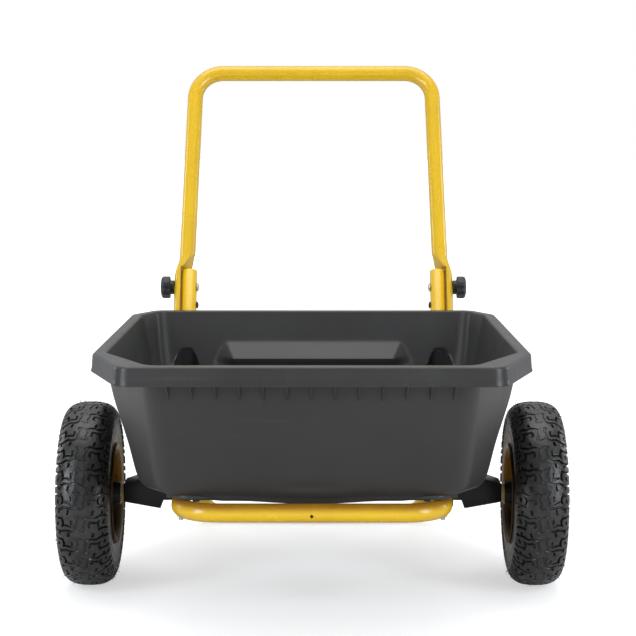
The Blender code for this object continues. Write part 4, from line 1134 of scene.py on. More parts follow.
def make_wheel(tag, side):
    body = "wheel_" + tag
    hub_c = (side * WHEEL_X, 0.0, WHEEL_R)
    axis = (side, 0, 0)

    # ---- tyre: section from the crown to the bead, as (r, w, arc length)
    half = [(165.0, 0.0), (164.6, 12.0), (161.6, 27.0), (154.6, 38.4), (144.6, 44.8), (132.0, 47.4), (118.0, 47.6),
            (106.5, 47.4), (98.5, 46.9), (94.0, 46.3), (91.6, 45.5)]
    smooth_half = catmull([(165.0, -12.0)] + half, 8)[8:]
    arc = [0.0]
    for (r0, w0), (r1, w1) in zip(smooth_half, smooth_half[1:]):
        arc.append(arc[-1] + math.hypot(r1 - r0, w1 - w0))
    total = arc[-1]

    def section_point(v):
        s = min(abs(v), total - 1e-6)
        lo = 0
        for i in range(len(arc) - 1):
            if arc[i + 1] >= s:
                lo = i
                break
        t = (s - arc[lo]) / (arc[lo + 1] - arc[lo])
        r = lerp(smooth_half[lo][0], smooth_half[lo + 1][0], t)
        w = lerp(smooth_half[lo][1], smooth_half[lo + 1][1], t)
        dr, dw = smooth_half[lo + 1][0] - smooth_half[lo][0], smooth_half[lo + 1][1] - smooth_half[lo][1]
        ln = math.hypot(dr, dw)
        nr, nw = dw / ln, -dr / ln
        sign = -1.0 if v < 0 else 1.0
        return r, w * sign, nr, nw * sign

    us = sorted({round((e + o) % PITCH, 3) for e in U_EDGES for o in (-0.55, 0.55)})
    us = [u for i, u in enumerate(us) if i == 0 or u - us[i - 1] > 0.2]
    vs = {round(e + o, 3) for e in V_EDGES if abs(e) < 59 for o in (-0.55, 0.55)}
    vs |= {float(x) for x in (-57, -54, -51, -47, -43, -39, -27, -11.5, 0, 11.5, 27, 39, 43, 47, 51, 54, 57)}
    side_v = [60.0, 62.0, 63.0, 64.6, 66.0, 70.0, 72.0, 73.2, 75.6, 76.8, 80.0, 84.0, 88.0, 89.4, 91.6, 93.0]
    v = 96.0
    while v < total - 1.0:
        side_v.append(v)
        v += 3.2
    side_v.append(total - 0.01)
    vs |= set(side_v) | {-x for x in side_v}
    vs = sorted(vs)
    n_u = len(us) * PITCHES
    verts, top_attr = [], []

    def slant(v):
        """The grooves lean a little along the tread."""
        return -0.10 * v * (1.0 - blend01(50.0, 66.0, abs(v)))

    def swing(u, v):
        """Grooves curve instead of running dead straight."""
        calm = 1.0 - blend01(46.0, 62.0, abs(v))
        return (slant(v) + 1.5 * math.sin(2 * math.pi * v / 21.0) * calm,
                v + 1.5 * math.sin(2 * math.pi * u / (PITCH / 2.0)) * calm)

    cell = {}
    for u in us:
        for v in vs:
            r, w, nr, nw = section_point(swing(u, v)[1])
            depth_full = groove_depth(v)
            # k_top is the tread-top weight; where it is low, the rubber's material lays painted shade
            if abs(v) <= 64.0:
                k = blend01(-0.6, 0.6, inside_block(u, v))
                lug_end = blend01(61.5, 64.0, abs(v))
                drop = depth_full * max(1.0 - k, lug_end)
                k_top = max(k, 0.55 * (1.0 - blend01(8.0, 26.0, abs(v)))) * (1.0 - 0.6 * lug_end)
            else:
                k_top = 0.12
                drop = depth_full
                for ridge in (74.4, 90.5):
                    drop -= 0.7 * (1.0 - blend01(0.9, 2.2, abs(abs(v) - ridge)))
            cell[(u, v)] = (r - nr * drop, w - nw * drop, k_top)
    for p in range(PITCHES):
        for u in us:
            for v in vs:
                rr, ww, k_top = cell[(u, v)]
                ang = 2 * math.pi * (p + (u + swing(u, v)[0]) / PITCH) / PITCHES
                # the local Z of the wheel points away from the cart
                verts.append(world((side * (WHEEL_X + ww), math.sin(ang) * rr, WHEEL_R + math.cos(ang) * rr)))
                top_attr.append(k_top)
    n_v = len(vs)
    faces = []
    for i in range(n_u):
        a, b = i * n_v, ((i + 1) % n_u) * n_v
        for j in range(n_v - 1):
            faces.append((a + j, a + j + 1, b + j + 1, b + j))
    # bead toe and the inside, so that the shell is closed
    inner = [(91.0, 44.6), (82.4, 42.1), (79.6, 37.9), (79.6, 24.0), (104.0, 34.0), (130.0, 38.0), (152.0, 20.0),
             (152.0, -20.0), (130.0, -38.0), (104.0, -34.0), (79.6, -24.0), (79.6, -37.9), (82.4, -42.1), (91.0, -44.6)]
    base = len(verts)
    m = len(inner)
    for p in range(PITCHES):
        for u in us:
            ang = 2 * math.pi * (p + u / PITCH) / PITCHES
            for r, w in inner:
                verts.append(world((side * (WHEEL_X + w), math.sin(ang) * r, WHEEL_R + math.cos(ang) * r)))
                top_attr.append(0.2)
    for i in range(n_u):
        k = (i + 1) % n_u
        for j in range(m - 1):
            faces.append((base + i * m + j, base + i * m + j + 1, base + k * m + j + 1, base + k * m + j))
        faces.append((i * n_v + n_v - 1, base + i * m, base + k * m, k * n_v + n_v - 1))
        faces.append((base + i * m + m - 1, i * n_v, k * n_v, base + k * m + m - 1))
    me = bpy.data.meshes.new("tyre_" + tag)
    me.from_pydata(verts, [], faces)
    attr = me.attributes.new("tread", "FLOAT", "POINT")
    attr.data.foreach_set("value", top_attr)
    tyre = bpy.data.objects.new("tyre_tread_" + tag, me)
    SCENE.collection.objects.link(tyre)
    bm = bmesh.new()
    bm.from_mesh(me)
    bmesh.ops.recalc_face_normals(bm, faces=bm.faces)
    # moulding hairs
    rng = random.Random(11 if side > 0 else 5)
    layer = bm.verts.layers.float.get("tread")
    for _ in range(230):
        u, v = rng.uniform(0, PITCH), rng.choice([-1, 1]) * rng.uniform(2.0, 60.0)
        p = rng.randrange(PITCHES)
        if inside_block(u, v) < 1.2:
            continue
        r, w, nr, nw = section_point(v)
        ang = 2 * math.pi * (p + (u + swing(u, v)[0]) / PITCH) / PITCHES
        radial = Vector((0.0, math.sin(ang), math.cos(ang)))
        foot = Vector((side * (WHEEL_X + w), 0, WHEEL_R)) + radial * (r - 0.6)
        direction = (radial * nr + Vector((side, 0, 0)) * nw).normalized()
        lean = Vector((rng.uniform(-1, 1), rng.uniform(-1, 1), rng.uniform(-1, 1))) * 0.5
        length = rng.uniform(2.5, 6.0)
        if foot.z + direction.z * length < 4.0:
            length = 1.2
        rings = []
        for s, rad in ((0.0, 0.55), (0.5, 0.42), (1.0, 0.22)):
            c = foot + direction * (length * s) + lean * (length * 0.35 * s * s)
            e1 = direction.orthogonal().normalized()
            e2 = direction.cross(e1)
            rings.append([bm.verts.new(world(c + (e1 * math.cos(a) + e2 * math.sin(a)) * rad))
                          for a in (2 * math.pi * q / 5 for q in range(5))])
        for ring in rings:
            for vert in ring:
                vert[layer] = 0.9
        for a, b in zip(rings, rings[1:]):
            for q in range(5):
                bm.faces.new((a[q], a[(q + 1) % 5], b[(q + 1) % 5], b[q]))
        bm.faces.new(rings[-1])
    bm.to_mesh(me)
    bm.free()
    settle(tyre, body, "tyre_rubber", ["tyre_" + tag], 44.0)

    # ---- inner tube with its valve stem and cap
    tube = [(121.0 + 30.0 * math.cos(a), -34.5 * math.sin(a)) for a in (2 * math.pi * k / 24 for k in range(24))]
    ring = turned("tube_ring", tube, 64, hub_c, axis)
    down = (0, 0, 1) if side > 0 else (0, 0, -1)
    stem_c = (side * (WHEEL_X + 11.0), 0.0, WHEEL_R)
    stem_prof = [(0, 55.0), (2.6, 55.0), (3.3, 55.7), (3.3, 62.6), (2.9, 63.0), (2.9, 63.6), (3.6, 64.4), (4.2, 66.0),
                 (4.2, 92.0), (0, 92.0)]
    stem = turned("stem", [(r, z) for r, z in stem_prof], 28, stem_c, down, closed=False)
    grommet = turned("grommet", fillet([(4.1, 70.5), (6.6, 70.5), (6.6, 73.4), (4.1, 73.4)], 0.9, 3), 28, stem_c, down)
    tube_ob = joined("inner_tube_and_valve_" + tag, [ring, stem, grommet])
    settle(tube_ob, body, "tube_rubber", ["inner_tube_" + tag], 40.0)

    # ---- rim halves
    disc = [(20.9, 2.5, 0.6), (27.5, 2.5, 1.5), (30.5, 4.6, 1.5), (36.0, 4.6, 1.5), (39.0, 2.5, 1.5), (57.0, 2.5, 7.0),
            (70.4, 9.6, 6.0), (75.4, 21.0, 6.0), (75.8, 40.0, 3.0), (80.0, 45.6, 4.0), (88.2, 48.0, 1.6), (90.8, 45.9, 1.0),
            (81.6, 43.1, 2.6), (78.7, 38.4, 2.4), (78.4, 22.0, 5.0), (73.6, 8.0, 6.0), (59.0, GAP / 2, 4.0), (20.9, GAP / 2, 0.2)]
    for end, sign in (("outer", 1), ("inner", -1)):
        prof = [(r, z * sign) for r, z in fillet(disc, 2.0, 5)]
        ob = turned("rim_shell_%s_%s" % (end, tag), prof, 112, hub_c, axis)
        # painted shade on the inboard half: its dish and the side below and in front of the hub, set in the rest pose
        # so it turns with the wheel; the outboard half gets only a light film of dirt in its dish
        dirt_and_shade = []
        for vert in ob.data.vertices:
            w = abs(abs(vert.co.x) / MM - WHEEL_X)
            r = math.hypot(vert.co.y / MM - AXLE_Y, vert.co.z / MM - WHEEL_R)
            clear = (0.62 * (vert.co.y / MM - AXLE_Y) + 0.78 * (vert.co.z / MM - WHEEL_R)) / max(r, 1.0)
            low = 1.0 - blend01(0.15, 0.75, clear)
            dish = 1.0 - blend01(79.5, 83.0, r) if w > 1.0 else 1.0
            if end == "outer":
                dirt_and_shade.append(dish * lerp(0.05, 0.26, blend01(52.0, 76.0, r)))
            else:
                dirt_and_shade.append(max(dish * lerp(0.35, 1.0, low), 0.96 * low))
        ob.data.attributes.new("dirt_and_shade", "FLOAT", "POINT").data.foreach_set("value", dirt_and_shade)
        settle(ob, body, "yellow_paint", ["rim_%s_%s" % (end, tag)], 40.0, RIMS[end])

    # ---- hub barrel and its bearings
    hub_in, hub_out = -53.2, 33.0
    ob = turned("hub_barrel_" + tag, fillet([(20.5, hub_out, 0.9), (20.5, hub_in, 0.9), (17.5, hub_in, 0.7), (17.5, hub_out, 0.7)], 0.8, 3),
                72, hub_c, axis)
    settle(ob, body, "black_paint", ["hub_" + tag], 40.0)
    for end, z0 in (("inner", hub_in), ("outer", hub_out - 11.0)):
        z1 = z0 + 11.0
        face = 1.1
        prof = [(17.2, z0, 0.5), (14.9, z0, 0.2), (14.6, z0 + face, 0.2), (11.4, z0 + face, 0.2), (11.1, z0, 0.2), (8.44, z0, 0.5),
                (8.44, z1, 0.5), (11.1, z1, 0.2), (11.4, z1 - face, 0.2), (14.6, z1 - face, 0.2), (14.9, z1, 0.2), (17.2, z1, 0.5)]
        ob = turned("bearing_ring_%s_%s" % (end, tag), fillet(prof, 0.3, 2), 64, hub_c, axis)
        settle(ob, body, "bearing_steel", ["bearing_%s_%s" % (end, tag)], 40.0)

    # ---- washers on the axle
    for end, z0, z1 in (("inner", -60.2, -53.5), ("outer", 33.3, 36.3)):
        ob = turned("%s_washer_ring_%s" % (end, tag),
                    fillet([(16.5, z0, 0.7), (AXLE_R + 0.5, z0, 0.4), (AXLE_R + 0.5, z1, 0.4), (16.5, z1, 0.7)], 0.6, 3),
                    64, hub_c, axis)
        settle(ob, "chassis", "zinc", ["%s_washer_%s" % (end, tag)], 40.0, WASHER)

    # ---- hairpin cotter
    pin = [(0.0, -14.0), (0.0, -4.0), (0.0, 6.0), (0.0, 12.0)]
    for k in range(1, 9):
        a = math.pi * k / 8
        pin.append((6.0 - 6.0 * math.cos(a), 12.0 + 6.0 * math.sin(a)))
    pin += [(12.0, 6.0), (11.0, 0.0), (11.8, -8.0), (14.0, -13.0)]
    path = [Vector((side * (WHEEL_X + 39.6), y, WHEEL_R + z)) for y, z in catmull(pin, 4)]
    ob = pipe("cotter_wire_" + tag, path, 1.6, 16, round_end=0.8)
    settle(ob, "chassis", "zinc", ["cotter_pin_" + tag], 45.0)


def make_axle():
    prof = [(0.0, AXLE_HALF), (AXLE_R - 1.3, AXLE_HALF), (AXLE_R - 0.5, AXLE_HALF - 0.35), (AXLE_R, AXLE_HALF - 1.3)]
    prof += [(AXLE_R, AXLE_HALF - 1.3 - (2 * AXLE_HALF - 2.6) * k / 8) for k in range(1, 8)]
    prof += [(AXLE_R, -AXLE_HALF + 1.3), (AXLE_R - 0.5, -AXLE_HALF + 0.35), (AXLE_R - 1.3, -AXLE_HALF), (0.0, -AXLE_HALF)]
    ob = turned("axle_bar", prof, 64, (0, 0, WHEEL_R), (1, 0, 0), closed=False)
    for s in (1, -1):
        cut(ob, rod("pin_hole", (s * (WHEEL_X + 39.6), 0, WHEEL_R), (0, 0, 1), 2.0, 30.0, 20))
    settle(ob, "chassis", "zinc", ["axle"], 40.0)


# ================================================================ brackets
def extruded(name, outline, y0, y1):
    """An (x, z) outline given a depth along Y."""
    m = len(outline)
    verts = [world((x, y, z)) for y in (y0, y1) for x, z in outline]
    faces = [tuple(range(m)), tuple(m + i for i in reversed(range(m)))]
    faces += [((i + 1) % m, i, m + i, m + (i + 1) % m) for i in range(m)]
    return outward(mesh_piece(name, verts, faces))


def block(name, centre, size, rot_z=0.0):
    verts = []
    r = Matrix.Rotation(rot_z, 3, "Z")
    for sx in (-0.5, 0.5):
        for sy in (-0.5, 0.5):
            for sz in (-0.5, 0.5):
                verts.append(world(Vector(centre) + r @ Vector((size[0] * sx, size[1] * sy, size[2] * sz))))
    faces = [(0, 1, 3, 2), (4, 6, 7, 5), (0, 4, 5, 1), (2, 3, 7, 6), (0, 2, 6, 4), (1, 5, 7, 3)]
    return outward(mesh_piece(name, verts, faces))


def make_bracket(tag, side):
    end_x = WHEEL_X - 60.6
    outline = [(end_x, 154.5), (end_x, 186.0), (310.0, 195.5), (276.0, 204.5), (240.0, 204.5),
               (240.0, 158.0), (267.0, 157.5), (272.5, 142.5)]
    half, wall = 28.0, 3.5
    ob = extruded("axle_bracket_shell_" + tag, [(side * x, z) for x, z in outline], -half, half)
    pocket = [(end_x - wall, 120.0), (end_x - wall, 186.0 - wall - 1.0), (309.0, 195.5 - wall - 0.5),
              (276.0, 204.5 - wall), (200.0, 204.5 - wall), (200.0, 120.0)]
    toe = math.atan(RAIL_TOE)
    face = rail_x(0.0) + TUBE_R / math.cos(toe) + GAP
    cut(ob, extruded("pocket", [(side * x, z) for x, z in pocket], -(half - wall), half - wall))
    cut(ob, block("keep", (side * (face + wall / 2.0), 0.0, 175.0), (wall, 2.0 * half - 0.5, 58.0), -side * toe), "UNION")
    cut(ob, block("trim", (side * (face - 30.0 / math.cos(toe)), 0.0, 180.0), (60.0, 120.0, 120.0), -side * toe))
    cut(ob, rod("bore", (side * 290.0, 0.0, WHEEL_R), (1, 0, 0), AXLE_R + GAP, 120.0, 32))
    outward(ob)
    rounded(ob, 1.4, 3, 40.0)
    settle(ob, "chassis", "black_paint", ["axle_bracket_" + tag], 30.0)


# ================================================================ knobs
def make_knob(tag, side):
    steps = 96
    z0 = CRUSH_OUT + 0.4
    c = (side * z0, PIVOT.y, PIVOT.z)

    def outline(a, inset):
        lobe = 22.3 - 1.9 * (0.5 - 0.5 * math.cos(6.0 * a)) ** 2
        flute = 0.42 * abs(math.sin(24.0 * a)) if inset < 1.0 else 0.0
        return lobe - inset - flute

    levels = []                              # (z, kind, value)
    for z, r in ((0.0, 13.2), (0.25, 14.0), (0.9, 14.3), (2.6, 14.3), (3.0, 13.7), (3.6, 13.7), (4.0, 14.3), (6.3, 14.3), (7.0, 14.5),
                 (7.35, 15.2)):
        levels.append((z, "circle", r))
    top = 7.4 + 19.0
    for z, inset in ((7.4, 3.4), (7.55, 2.0), (8.2, 0.9), (9.0, 0.35), (10.0, 0.0), (12.0, 0.0), (15.0, 0.0), (18.0, 0.0), (20.0, 0.05),
                     (top - 5.0, 0.2), (top - 3.8, 0.8), (top - 2.6, 1.9), (top - 1.6, 3.3), (top - 0.9, 4.9), (top - 0.45, 6.6)):
        levels.append((z, "head", inset))
    for z, r in ((top - 0.15, 13.4), (top, 12.0), (top, 10.6), (top - 0.4, 9.8), (top - 1.0, 9.2), (top - 1.1, 7.0), (top - 0.9, 4.6), (top - 0.9, 0.0)):
        levels.append((z, "circle", r))
    verts, faces, rows = [], [], []
    ax = Vector((side, 0, 0))
    e1, e2 = Vector((0, 0, 1)), Vector((0, 1, 0)) * side
    for z, kind, val in levels:
        if kind == "circle" and val < 1e-6:
            rows.append([len(verts)] * steps)
            verts.append(world(Vector(c) + ax * z))
            continue
        rows.append([len(verts) + k for k in range(steps)])
        for k in range(steps):
            a = 2 * math.pi * k / steps
            r = val if kind == "circle" else outline(a, val)
            verts.append(world(Vector(c) + ax * z + (e1 * math.cos(a) + e2 * math.sin(a)) * r))
    for a, b in zip(rows, rows[1:]):
        for k in range(steps):
            j = (k + 1) % steps
            loop = []
            for v in (a[k], a[j], b[j], b[k]):
                if v not in loop:
                    loop.append(v)
            if len(loop) > 2:
                faces.append(tuple(loop))
    ob = mesh_piece("knob_grip_" + tag, verts, faces)
    # underside round the screw's hole
    outward(ob)
    ring = turned("neck_ring", [(12.4, 0.0), (8.2, 0.0), (8.0, 1.2), (4.6, 1.2), (4.5, 5.0)], 64, c, (side, 0, 0), closed=False)
    ob = joined("knob_grip_" + tag, [ob, ring])
    settle(ob, "knob_" + tag, "knob_plastic", ["knob_" + tag], 40.0)
    nut = hex_nut("insert", Vector(c) + ax * 0.2, (side, 0, 0), 7.5, 5.4)
    nut = joined("knob_insert_nut_" + tag, [nut])
    settle(nut, "knob_" + tag, "zinc", ["knob_insert_" + tag], 30.0)


# ================================================================ fasteners
def hex_nut(name, base, axis, corner_r, height, bore=4.0, turn=0.0):
    """Chamfered hexagon nut; base is its lower face's centre, in axle millimetres."""
    steps = 48
    axis = Vector(axis).normalized()
    side = Vector((0, 0, 1)) if abs(axis.z) < 0.9 else Vector((1, 0, 0))
    e1 = (side - axis * side.dot(axis)).normalized()
    e2 = axis.cross(e1)
    flat = corner_r * math.cos(math.pi / 6)

    def hexagon(a):
        t = (a % (math.pi / 3)) - math.pi / 6
        return flat / math.cos(t)

    levels = [(0.0, bore), (0.0, flat * 0.93), (0.25, flat * 0.99), (0.9, corner_r), (height - 0.9, corner_r),
              (height - 0.25, flat * 0.99), (height, flat * 0.93), (height, bore + 0.5), (height - 0.5, bore)]
    verts, faces = [], []
    for z, lim in levels:
        for k in range(steps):
            a = 2 * math.pi * k / steps + turn
            r = min(hexagon(2 * math.pi * k / steps), lim) if lim > bore + 1 else lim
            verts.append(world(Vector(base) + axis * z + (e1 * math.cos(a) + e2 * math.sin(a)) * r))
    m = len(levels)
    for i in range(m):
        a, b = i * steps, ((i + 1) % m) * steps
        for k in range(steps):
            j = (k + 1) % steps
            faces.append((a + k, a + j, b + j, b + k))
    return outward(mesh_piece(name, verts, faces))


def make_bolt(node, seat, axis, length, head_r=9.0, head_h=4.0, nut_at=None, nut_h=6.4, shank_r=4.0, body="chassis", thread_from=None,
              name=None):
    """Round-headed bolt; its head stands on seat along axis, and the shank runs back from it."""
    seat, axis = Vector(seat), Vector(axis).normalized()
    prof = [(0.0, head_h)]
    for k in range(1, 9):
        a = math.pi / 2 * k / 8
        prof.append((head_r * math.sin(a) ** 0.95, head_h * (0.16 + 0.84 * math.cos(a) ** 1.15)))
    prof += [(head_r, head_h * 0.08), (head_r - 0.3, 0.0), (shank_r, 0.0)]
    start = thread_from if thread_from is not None else (nut_at if nut_at is not None else length * 0.55)
    prof.append((shank_r, -start))
    z, pitch = start, 1.25
    while z + pitch < length - 0.8:
        prof += [(shank_r, -(z + 0.15)), (shank_r - 0.55, -(z + pitch * 0.55)), (shank_r, -(z + pitch * 0.95))]
        z += pitch
    prof += [(shank_r - 0.1, -(length - 0.8)), (shank_r - 0.8, -length), (0.0, -length)]
    parts = [turned("shank", prof, 40, seat, axis, closed=False)]
    if nut_at is not None:
        parts.append(hex_nut("nut", seat - axis * nut_at, -axis, 7.5, nut_h, turn=0.26))
    ob = joined(name or (node + "_steel"), parts)
    settle(ob, body, "zinc", [node], 34.0)
    return ob


def make_fasteners(leg_point):
    for tag, side in (("right", 1), ("left", -1)):
        out, inn = (side, 0, 0), (-side, 0, 0)
        make_bolt("handle_bolt_" + tag, (side * (PIVOT.x - TUBE_R - GAP), PIVOT.y, PIVOT.z), inn, 65.5,
                  head_r=9.2, head_h=4.2, thread_from=40.0)
        plug = on_upright(PIVOT_S - 38.0)
        prof = [(0.0, 3.8), (2.6, 3.7), (4.8, 3.1), (6.4, 2.1), (7.2, 0.9), (7.2, 0.15), (7.0, 0.0), (3.9, 0.0), (3.9, -4.4), (3.4, -5.0), (0.0, -5.0)]
        ob = turned("plug_" + tag, prof, 40, (side * (plug.x - TUBE_R - GAP), plug.y, plug.z), inn, closed=False)
        settle(ob, "chassis", "knob_plastic", ["hole_plug_" + tag], 40.0)

        for y, end in zip(TRAY_BOLT_Y, ("front", "rear")):
            seat = FLOOR_Z + GAP
            nut_at = seat - (rail_z(y) - TUBE_R - GAP)
            make_bolt("tray_bolt_%s_%s" % (end, tag), (side * rail_x(y), y, seat), (0, 0, 1), nut_at + 12.0, nut_at=nut_at)
        for y, end in ((-BRACKET_BOLT_Y, "front"), (BRACKET_BOLT_Y, "rear")):
            seat = rail_x(y) - TUBE_R - 0.5
            nut_at = rail_x(0.0) + TUBE_R / math.cos(math.atan(RAIL_TOE)) + GAP + 3.5 + 2.0 - seat
            make_bolt("bracket_bolt_%s_%s" % (end, tag), (side * seat, y, rail_z(0.0)), inn, nut_at + 9.5, nut_at=nut_at)
        seat = UPRIGHT_X + TUBE_R + GAP
        nut_at = seat - (UPRIGHT_X - TUBE_R - GAP - 6.0 - GAP)
        make_bolt("stand_bolt_" + tag, (side * seat, STAND_TOP.y, STAND_TOP.z), out, nut_at + 9.5, nut_at=nut_at)

        low = Vector((STAND_X - TUBE_R - 1.5 - 1.5, leg_point.y, leg_point.z))
        top = Vector((rail_x(BRACE_Y) - TUBE_R - 1.9 - 1.5, BRACE_Y, rail_z(BRACE_Y)))
        span = top - low
        strap(tag, side, low, top, span.length + 20.0)
        seat = STAND_X + TUBE_R + GAP
        nut_at = seat - (low.x - 1.5 - 0.6)
        make_bolt("brace_bolt_low_" + tag, (side * seat, low.y, low.z), out, nut_at + 9.5, nut_at=nut_at)
        seat = rail_x(BRACE_Y) + TUBE_R + 0.5
        nut_at = seat - (top.x - 1.5 - 0.8)
        make_bolt("brace_bolt_top_" + tag, (side * seat, top.y, top.z), out, nut_at + 9.5, nut_at=nut_at)

        # rubber pads between bar and tray
        c = (side * PAD_X, -235.0, BAR_Z + TUBE_R + GAP + 1.15)
        outline = fillet([(-6.0, -14.0), (6.0, -14.0), (6.0, 14.0), (-6.0, 14.0)], 3.5, 4)
        rings = []
        for dz, k in ((-1.15, 0.5), (-0.9, 0.1), (-0.5, 0.0), (0.5, 0.0), (0.9, 0.2), (1.15, 0.7)):
            rings.append([world((c[0] + x * (1 - k / 6.0), c[1] + y * (1 - k / 14.0), c[2] + dz)) for x, y in outline])
        ob = outward(rings_to_mesh("pad_" + tag, rings, cap_first=True, cap_last=True))
        settle(ob, "chassis", "tube_rubber", ["rest_pad_" + tag], 40.0)


def strap(tag, side, low, top, length):
    """Flat brace with rounded ends and eased edges."""
    a, b = Vector((side * low.x, low.y, low.z)), Vector((side * top.x, top.y, top.z))
    along = (b - a).normalized()
    thick = Vector((side, 0, 0))
    thick = (thick - along * thick.dot(along)).normalized()
    across = along.cross(thick)
    mid = (a + b) / 2.0
    half_l, half_w, t = length / 2.0, 11.0, 1.5
    outline = []
    for k in range(13):
        ang = -math.pi / 2 + math.pi * k / 12
        outline.append((half_l - 8.0 + 8.0 * math.cos(ang), (half_w - 8.0) * (1 if ang > 0 else -1) + 8.0 * math.sin(ang)))
    for k in range(13):
        ang = math.pi / 2 + math.pi * k / 12
        outline.append((-half_l + 8.0 + 8.0 * math.cos(ang), (half_w - 8.0) * (1 if math.sin(ang) > 0 else -1) + 8.0 * math.sin(ang)))
    rings = []
    for dt, inset in ((-t, 0.5), (-t + 0.5, 0.0), (t - 0.5, 0.0), (t, 0.5)):
        rings.append([world(mid + along * (u * (1 - inset / half_l)) + across * (v * (1 - inset / half_w)) + thick * dt)
                      for u, v in outline])
    ob = outward(rings_to_mesh("brace_strap_" + tag, rings, cap_first=True, cap_last=True))
    settle(ob, "chassis", "yellow_paint", ["stand_brace_" + tag], 35.0)


make_main_frame()
make_handle()
leg_point = make_stand()
make_tray()
for tag, side in (("right", 1), ("left", -1)):
    make_wheel(tag, side)
    make_bracket(tag, side)
    make_knob(tag, side)
make_axle()
make_fasteners(leg_point)


# ================================================================ stage, light, camera
def stage_material(name, value):
    g = Graph(name)
    cloud = g.noise(0.6, 2.0, 0.5)
    color = g.mix(g.remap(cloud, 0.3, 0.7, 0.0, 1.0), (value, value, value), (value * 0.985, value * 0.985, value * 0.985))
    rough = g.remap(cloud, 0.3, 0.7, 0.75, 0.8)
    return g.finish(color, rough, None, 0.0, Specular_IOR_Level=0.1)


def make_floor():
    n, r = 96, 26.0
    verts = [(0.0, 0.0, -0.0006)] + [(r * math.cos(2 * math.pi * k / n), r * math.sin(2 * math.pi * k / n), -0.0006) for k in range(n)]
    faces = [(0, 1 + k, 1 + (k + 1) % n) for k in range(n)]
    ob = mesh_piece("studio_floor", verts, faces)
    mat = stage_material("studio_floor_paint", 0.60)
    # the sheet is lit towards white by its own light wherever the camera sees it,
    # and is a plain mid grey to everything else, so the cart gets little light from below
    tree = mat.node_tree
    lit = tree.nodes["Principled BSDF"]
    out = tree.nodes["Material Output"]
    path = tree.nodes.new("ShaderNodeLightPath")
    plain = tree.nodes.new("ShaderNodeBsdfDiffuse")
    plain.inputs["Color"].default_value = (0.62, 0.61, 0.60, 1.0)
    spread = tree.nodes.new("ShaderNodeTexGradient")
    spread.gradient_type = "SPHERICAL"
    coord = tree.nodes.new("ShaderNodeTexCoord")
    scale = tree.nodes.new("ShaderNodeMapping")
    scale.inputs["Scale"].default_value = (0.22, 0.22, 0.22)
    tree.links.new(coord.outputs["Object"], scale.inputs["Vector"])
    tree.links.new(scale.outputs["Vector"], spread.inputs["Vector"])
    glow = tree.nodes.new("ShaderNodeMapRange")
    for key, val in (("From Min", 0.0), ("From Max", 1.0), ("To Min", 1.0), ("To Max", 0.46)):
        glow.inputs[key].default_value = val
    tree.links.new(spread.outputs["Fac"], glow.inputs["Value"])
    lit.inputs["Emission Color"].default_value = (1.0, 1.0, 1.0, 1.0)
    tree.links.new(glow.outputs["Result"], lit.inputs["Emission Strength"])
    pick = tree.nodes.new("ShaderNodeMixShader")
    tree.links.new(path.outputs["Is Camera Ray"], pick.inputs[0])
    tree.links.new(plain.outputs[0], pick.inputs[1])
    tree.links.new(lit.outputs[0], pick.inputs[2])
    tree.links.new(pick.outputs[0], out.inputs["Surface"])
    ob.data.materials.append(mat)


def area(name, place, aim, size, power, color=(1, 1, 1)):
    data = bpy.data.lights.new(name, "AREA")
    data.shape = "RECTANGLE"
    data.size, data.size_y = size
    data.energy = power
    data.color = color
    ob = bpy.data.objects.new(name, data)
    SCENE.collection.objects.link(ob)
    ob.location = place
    ob.rotation_euler = (Vector(aim) - Vector(place)).to_track_quat("-Z", "Y").to_euler()
    ob.visible_camera = False
    return ob


make_floor()
area("overhead", (0.0, 0.3, 3.4), (0.0, 0.1, 0.3), (3.0, 2.2), 54.0)
# the frontal fill is so soft that no surface mirrors it
area("front_fill", (0.0, -4.3, 0.7), (0.0, -0.1, 0.40), (2.6, 1.1), 34.0).visible_glossy = False
area("left_strip", (-2.2, -2.2, 1.25), (-0.1, 0.1, 0.45), (0.9, 2.1), 62.0, (0.90, 0.94, 1.0))
area("right_strip", (2.2, -2.2, 1.25), (0.1, 0.1, 0.45), (0.9, 2.1), 62.0, (0.90, 0.94, 1.0))

area("left_back_strip", (-2.7, 0.9, 1.1), (0.1, 0.1, 0.5), (0.8, 1.5), 20.0, (0.86, 0.92, 1.0))
area("right_back_strip", (2.7, 0.9, 1.1), (-0.1, 0.1, 0.5), (0.8, 1.5), 20.0, (0.86, 0.92, 1.0))

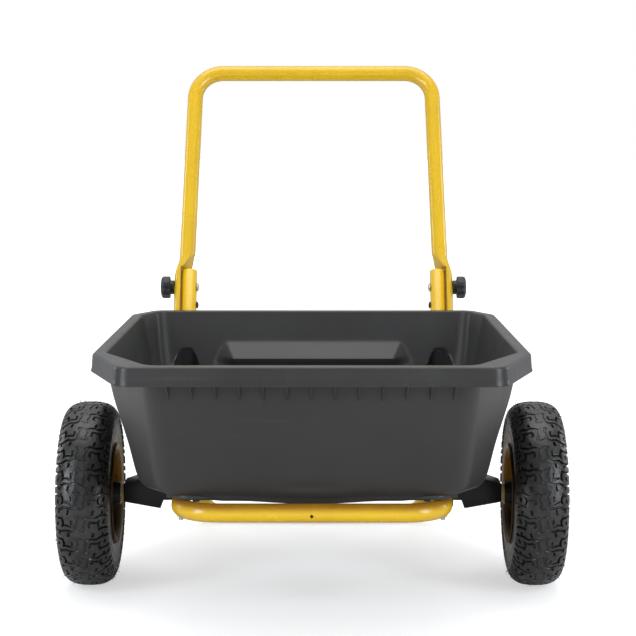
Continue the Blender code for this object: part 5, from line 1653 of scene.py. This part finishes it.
# white behind the cart; the light that reaches it comes mostly from above
studio = bpy.data.worlds.new("studio")
SCENE.world = studio
studio.use_nodes = True
sky = studio.node_tree
back = sky.nodes["Background"]
back.inputs["Color"].default_value = (1.0, 1.0, 1.0, 1.0)
back.inputs["Strength"].default_value = 1.0
soft = sky.nodes.new("ShaderNodeBackground")
soft.inputs["Color"].default_value = (0.97, 0.98, 1.0, 1.0)
where = sky.nodes.new("ShaderNodeTexCoord")
split = sky.nodes.new("ShaderNodeSeparateXYZ")
rise = sky.nodes.new("ShaderNodeMapRange")
for key, val in (("From Min", 0.30), ("From Max", 1.0), ("To Min", 0.08), ("To Max", 0.78)):
    rise.inputs[key].default_value = val
sky.links.new(where.outputs["Generated"], split.inputs[0])
sky.links.new(split.outputs["Z"], rise.inputs["Value"])
behind = sky.nodes.new("ShaderNodeMapRange")
for key, val in (("From Min", 0.05), ("From Max", 0.75), ("To Min", 0.0), ("To Max", 0.55)):
    behind.inputs[key].default_value = val
both = sky.nodes.new("ShaderNodeMath")
sky.links.new(split.outputs["Y"], behind.inputs["Value"])
sky.links.new(rise.outputs["Result"], both.inputs[0])
sky.links.new(behind.outputs["Result"], both.inputs[1])
sky.links.new(both.outputs[0], soft.inputs["Strength"])
seen = sky.nodes.new("ShaderNodeLightPath")
choose = sky.nodes.new("ShaderNodeMixShader")
sky.links.new(seen.outputs["Is Camera Ray"], choose.inputs[0])
sky.links.new(soft.outputs[0], choose.inputs[1])
sky.links.new(back.outputs[0], choose.inputs[2])
sky.links.new(choose.outputs[0], sky.nodes["World Output"].inputs["Surface"])

SCENE.view_settings.view_transform = "Standard"
SCENE.view_settings.look = "None"
SCENE.view_settings.exposure = 0.0
SCENE.view_settings.gamma = 1.0

cam_data = bpy.data.cameras.new("camera")
cam_data.sensor_width = 36.0
cam_data.lens = 1803.3 / 636.0 * 36.0
cam_data.clip_start, cam_data.clip_end = 0.05, 200.0
camera = bpy.data.objects.new("camera", cam_data)
SCENE.collection.objects.link(camera)
camera.location = (0.0155, -3.200 + AXLE_Y * MM, 0.8588)
camera.rotation_euler = (math.radians(90.0 - 6.7), 0.0, math.radians(0.1))
SCENE.camera = camera
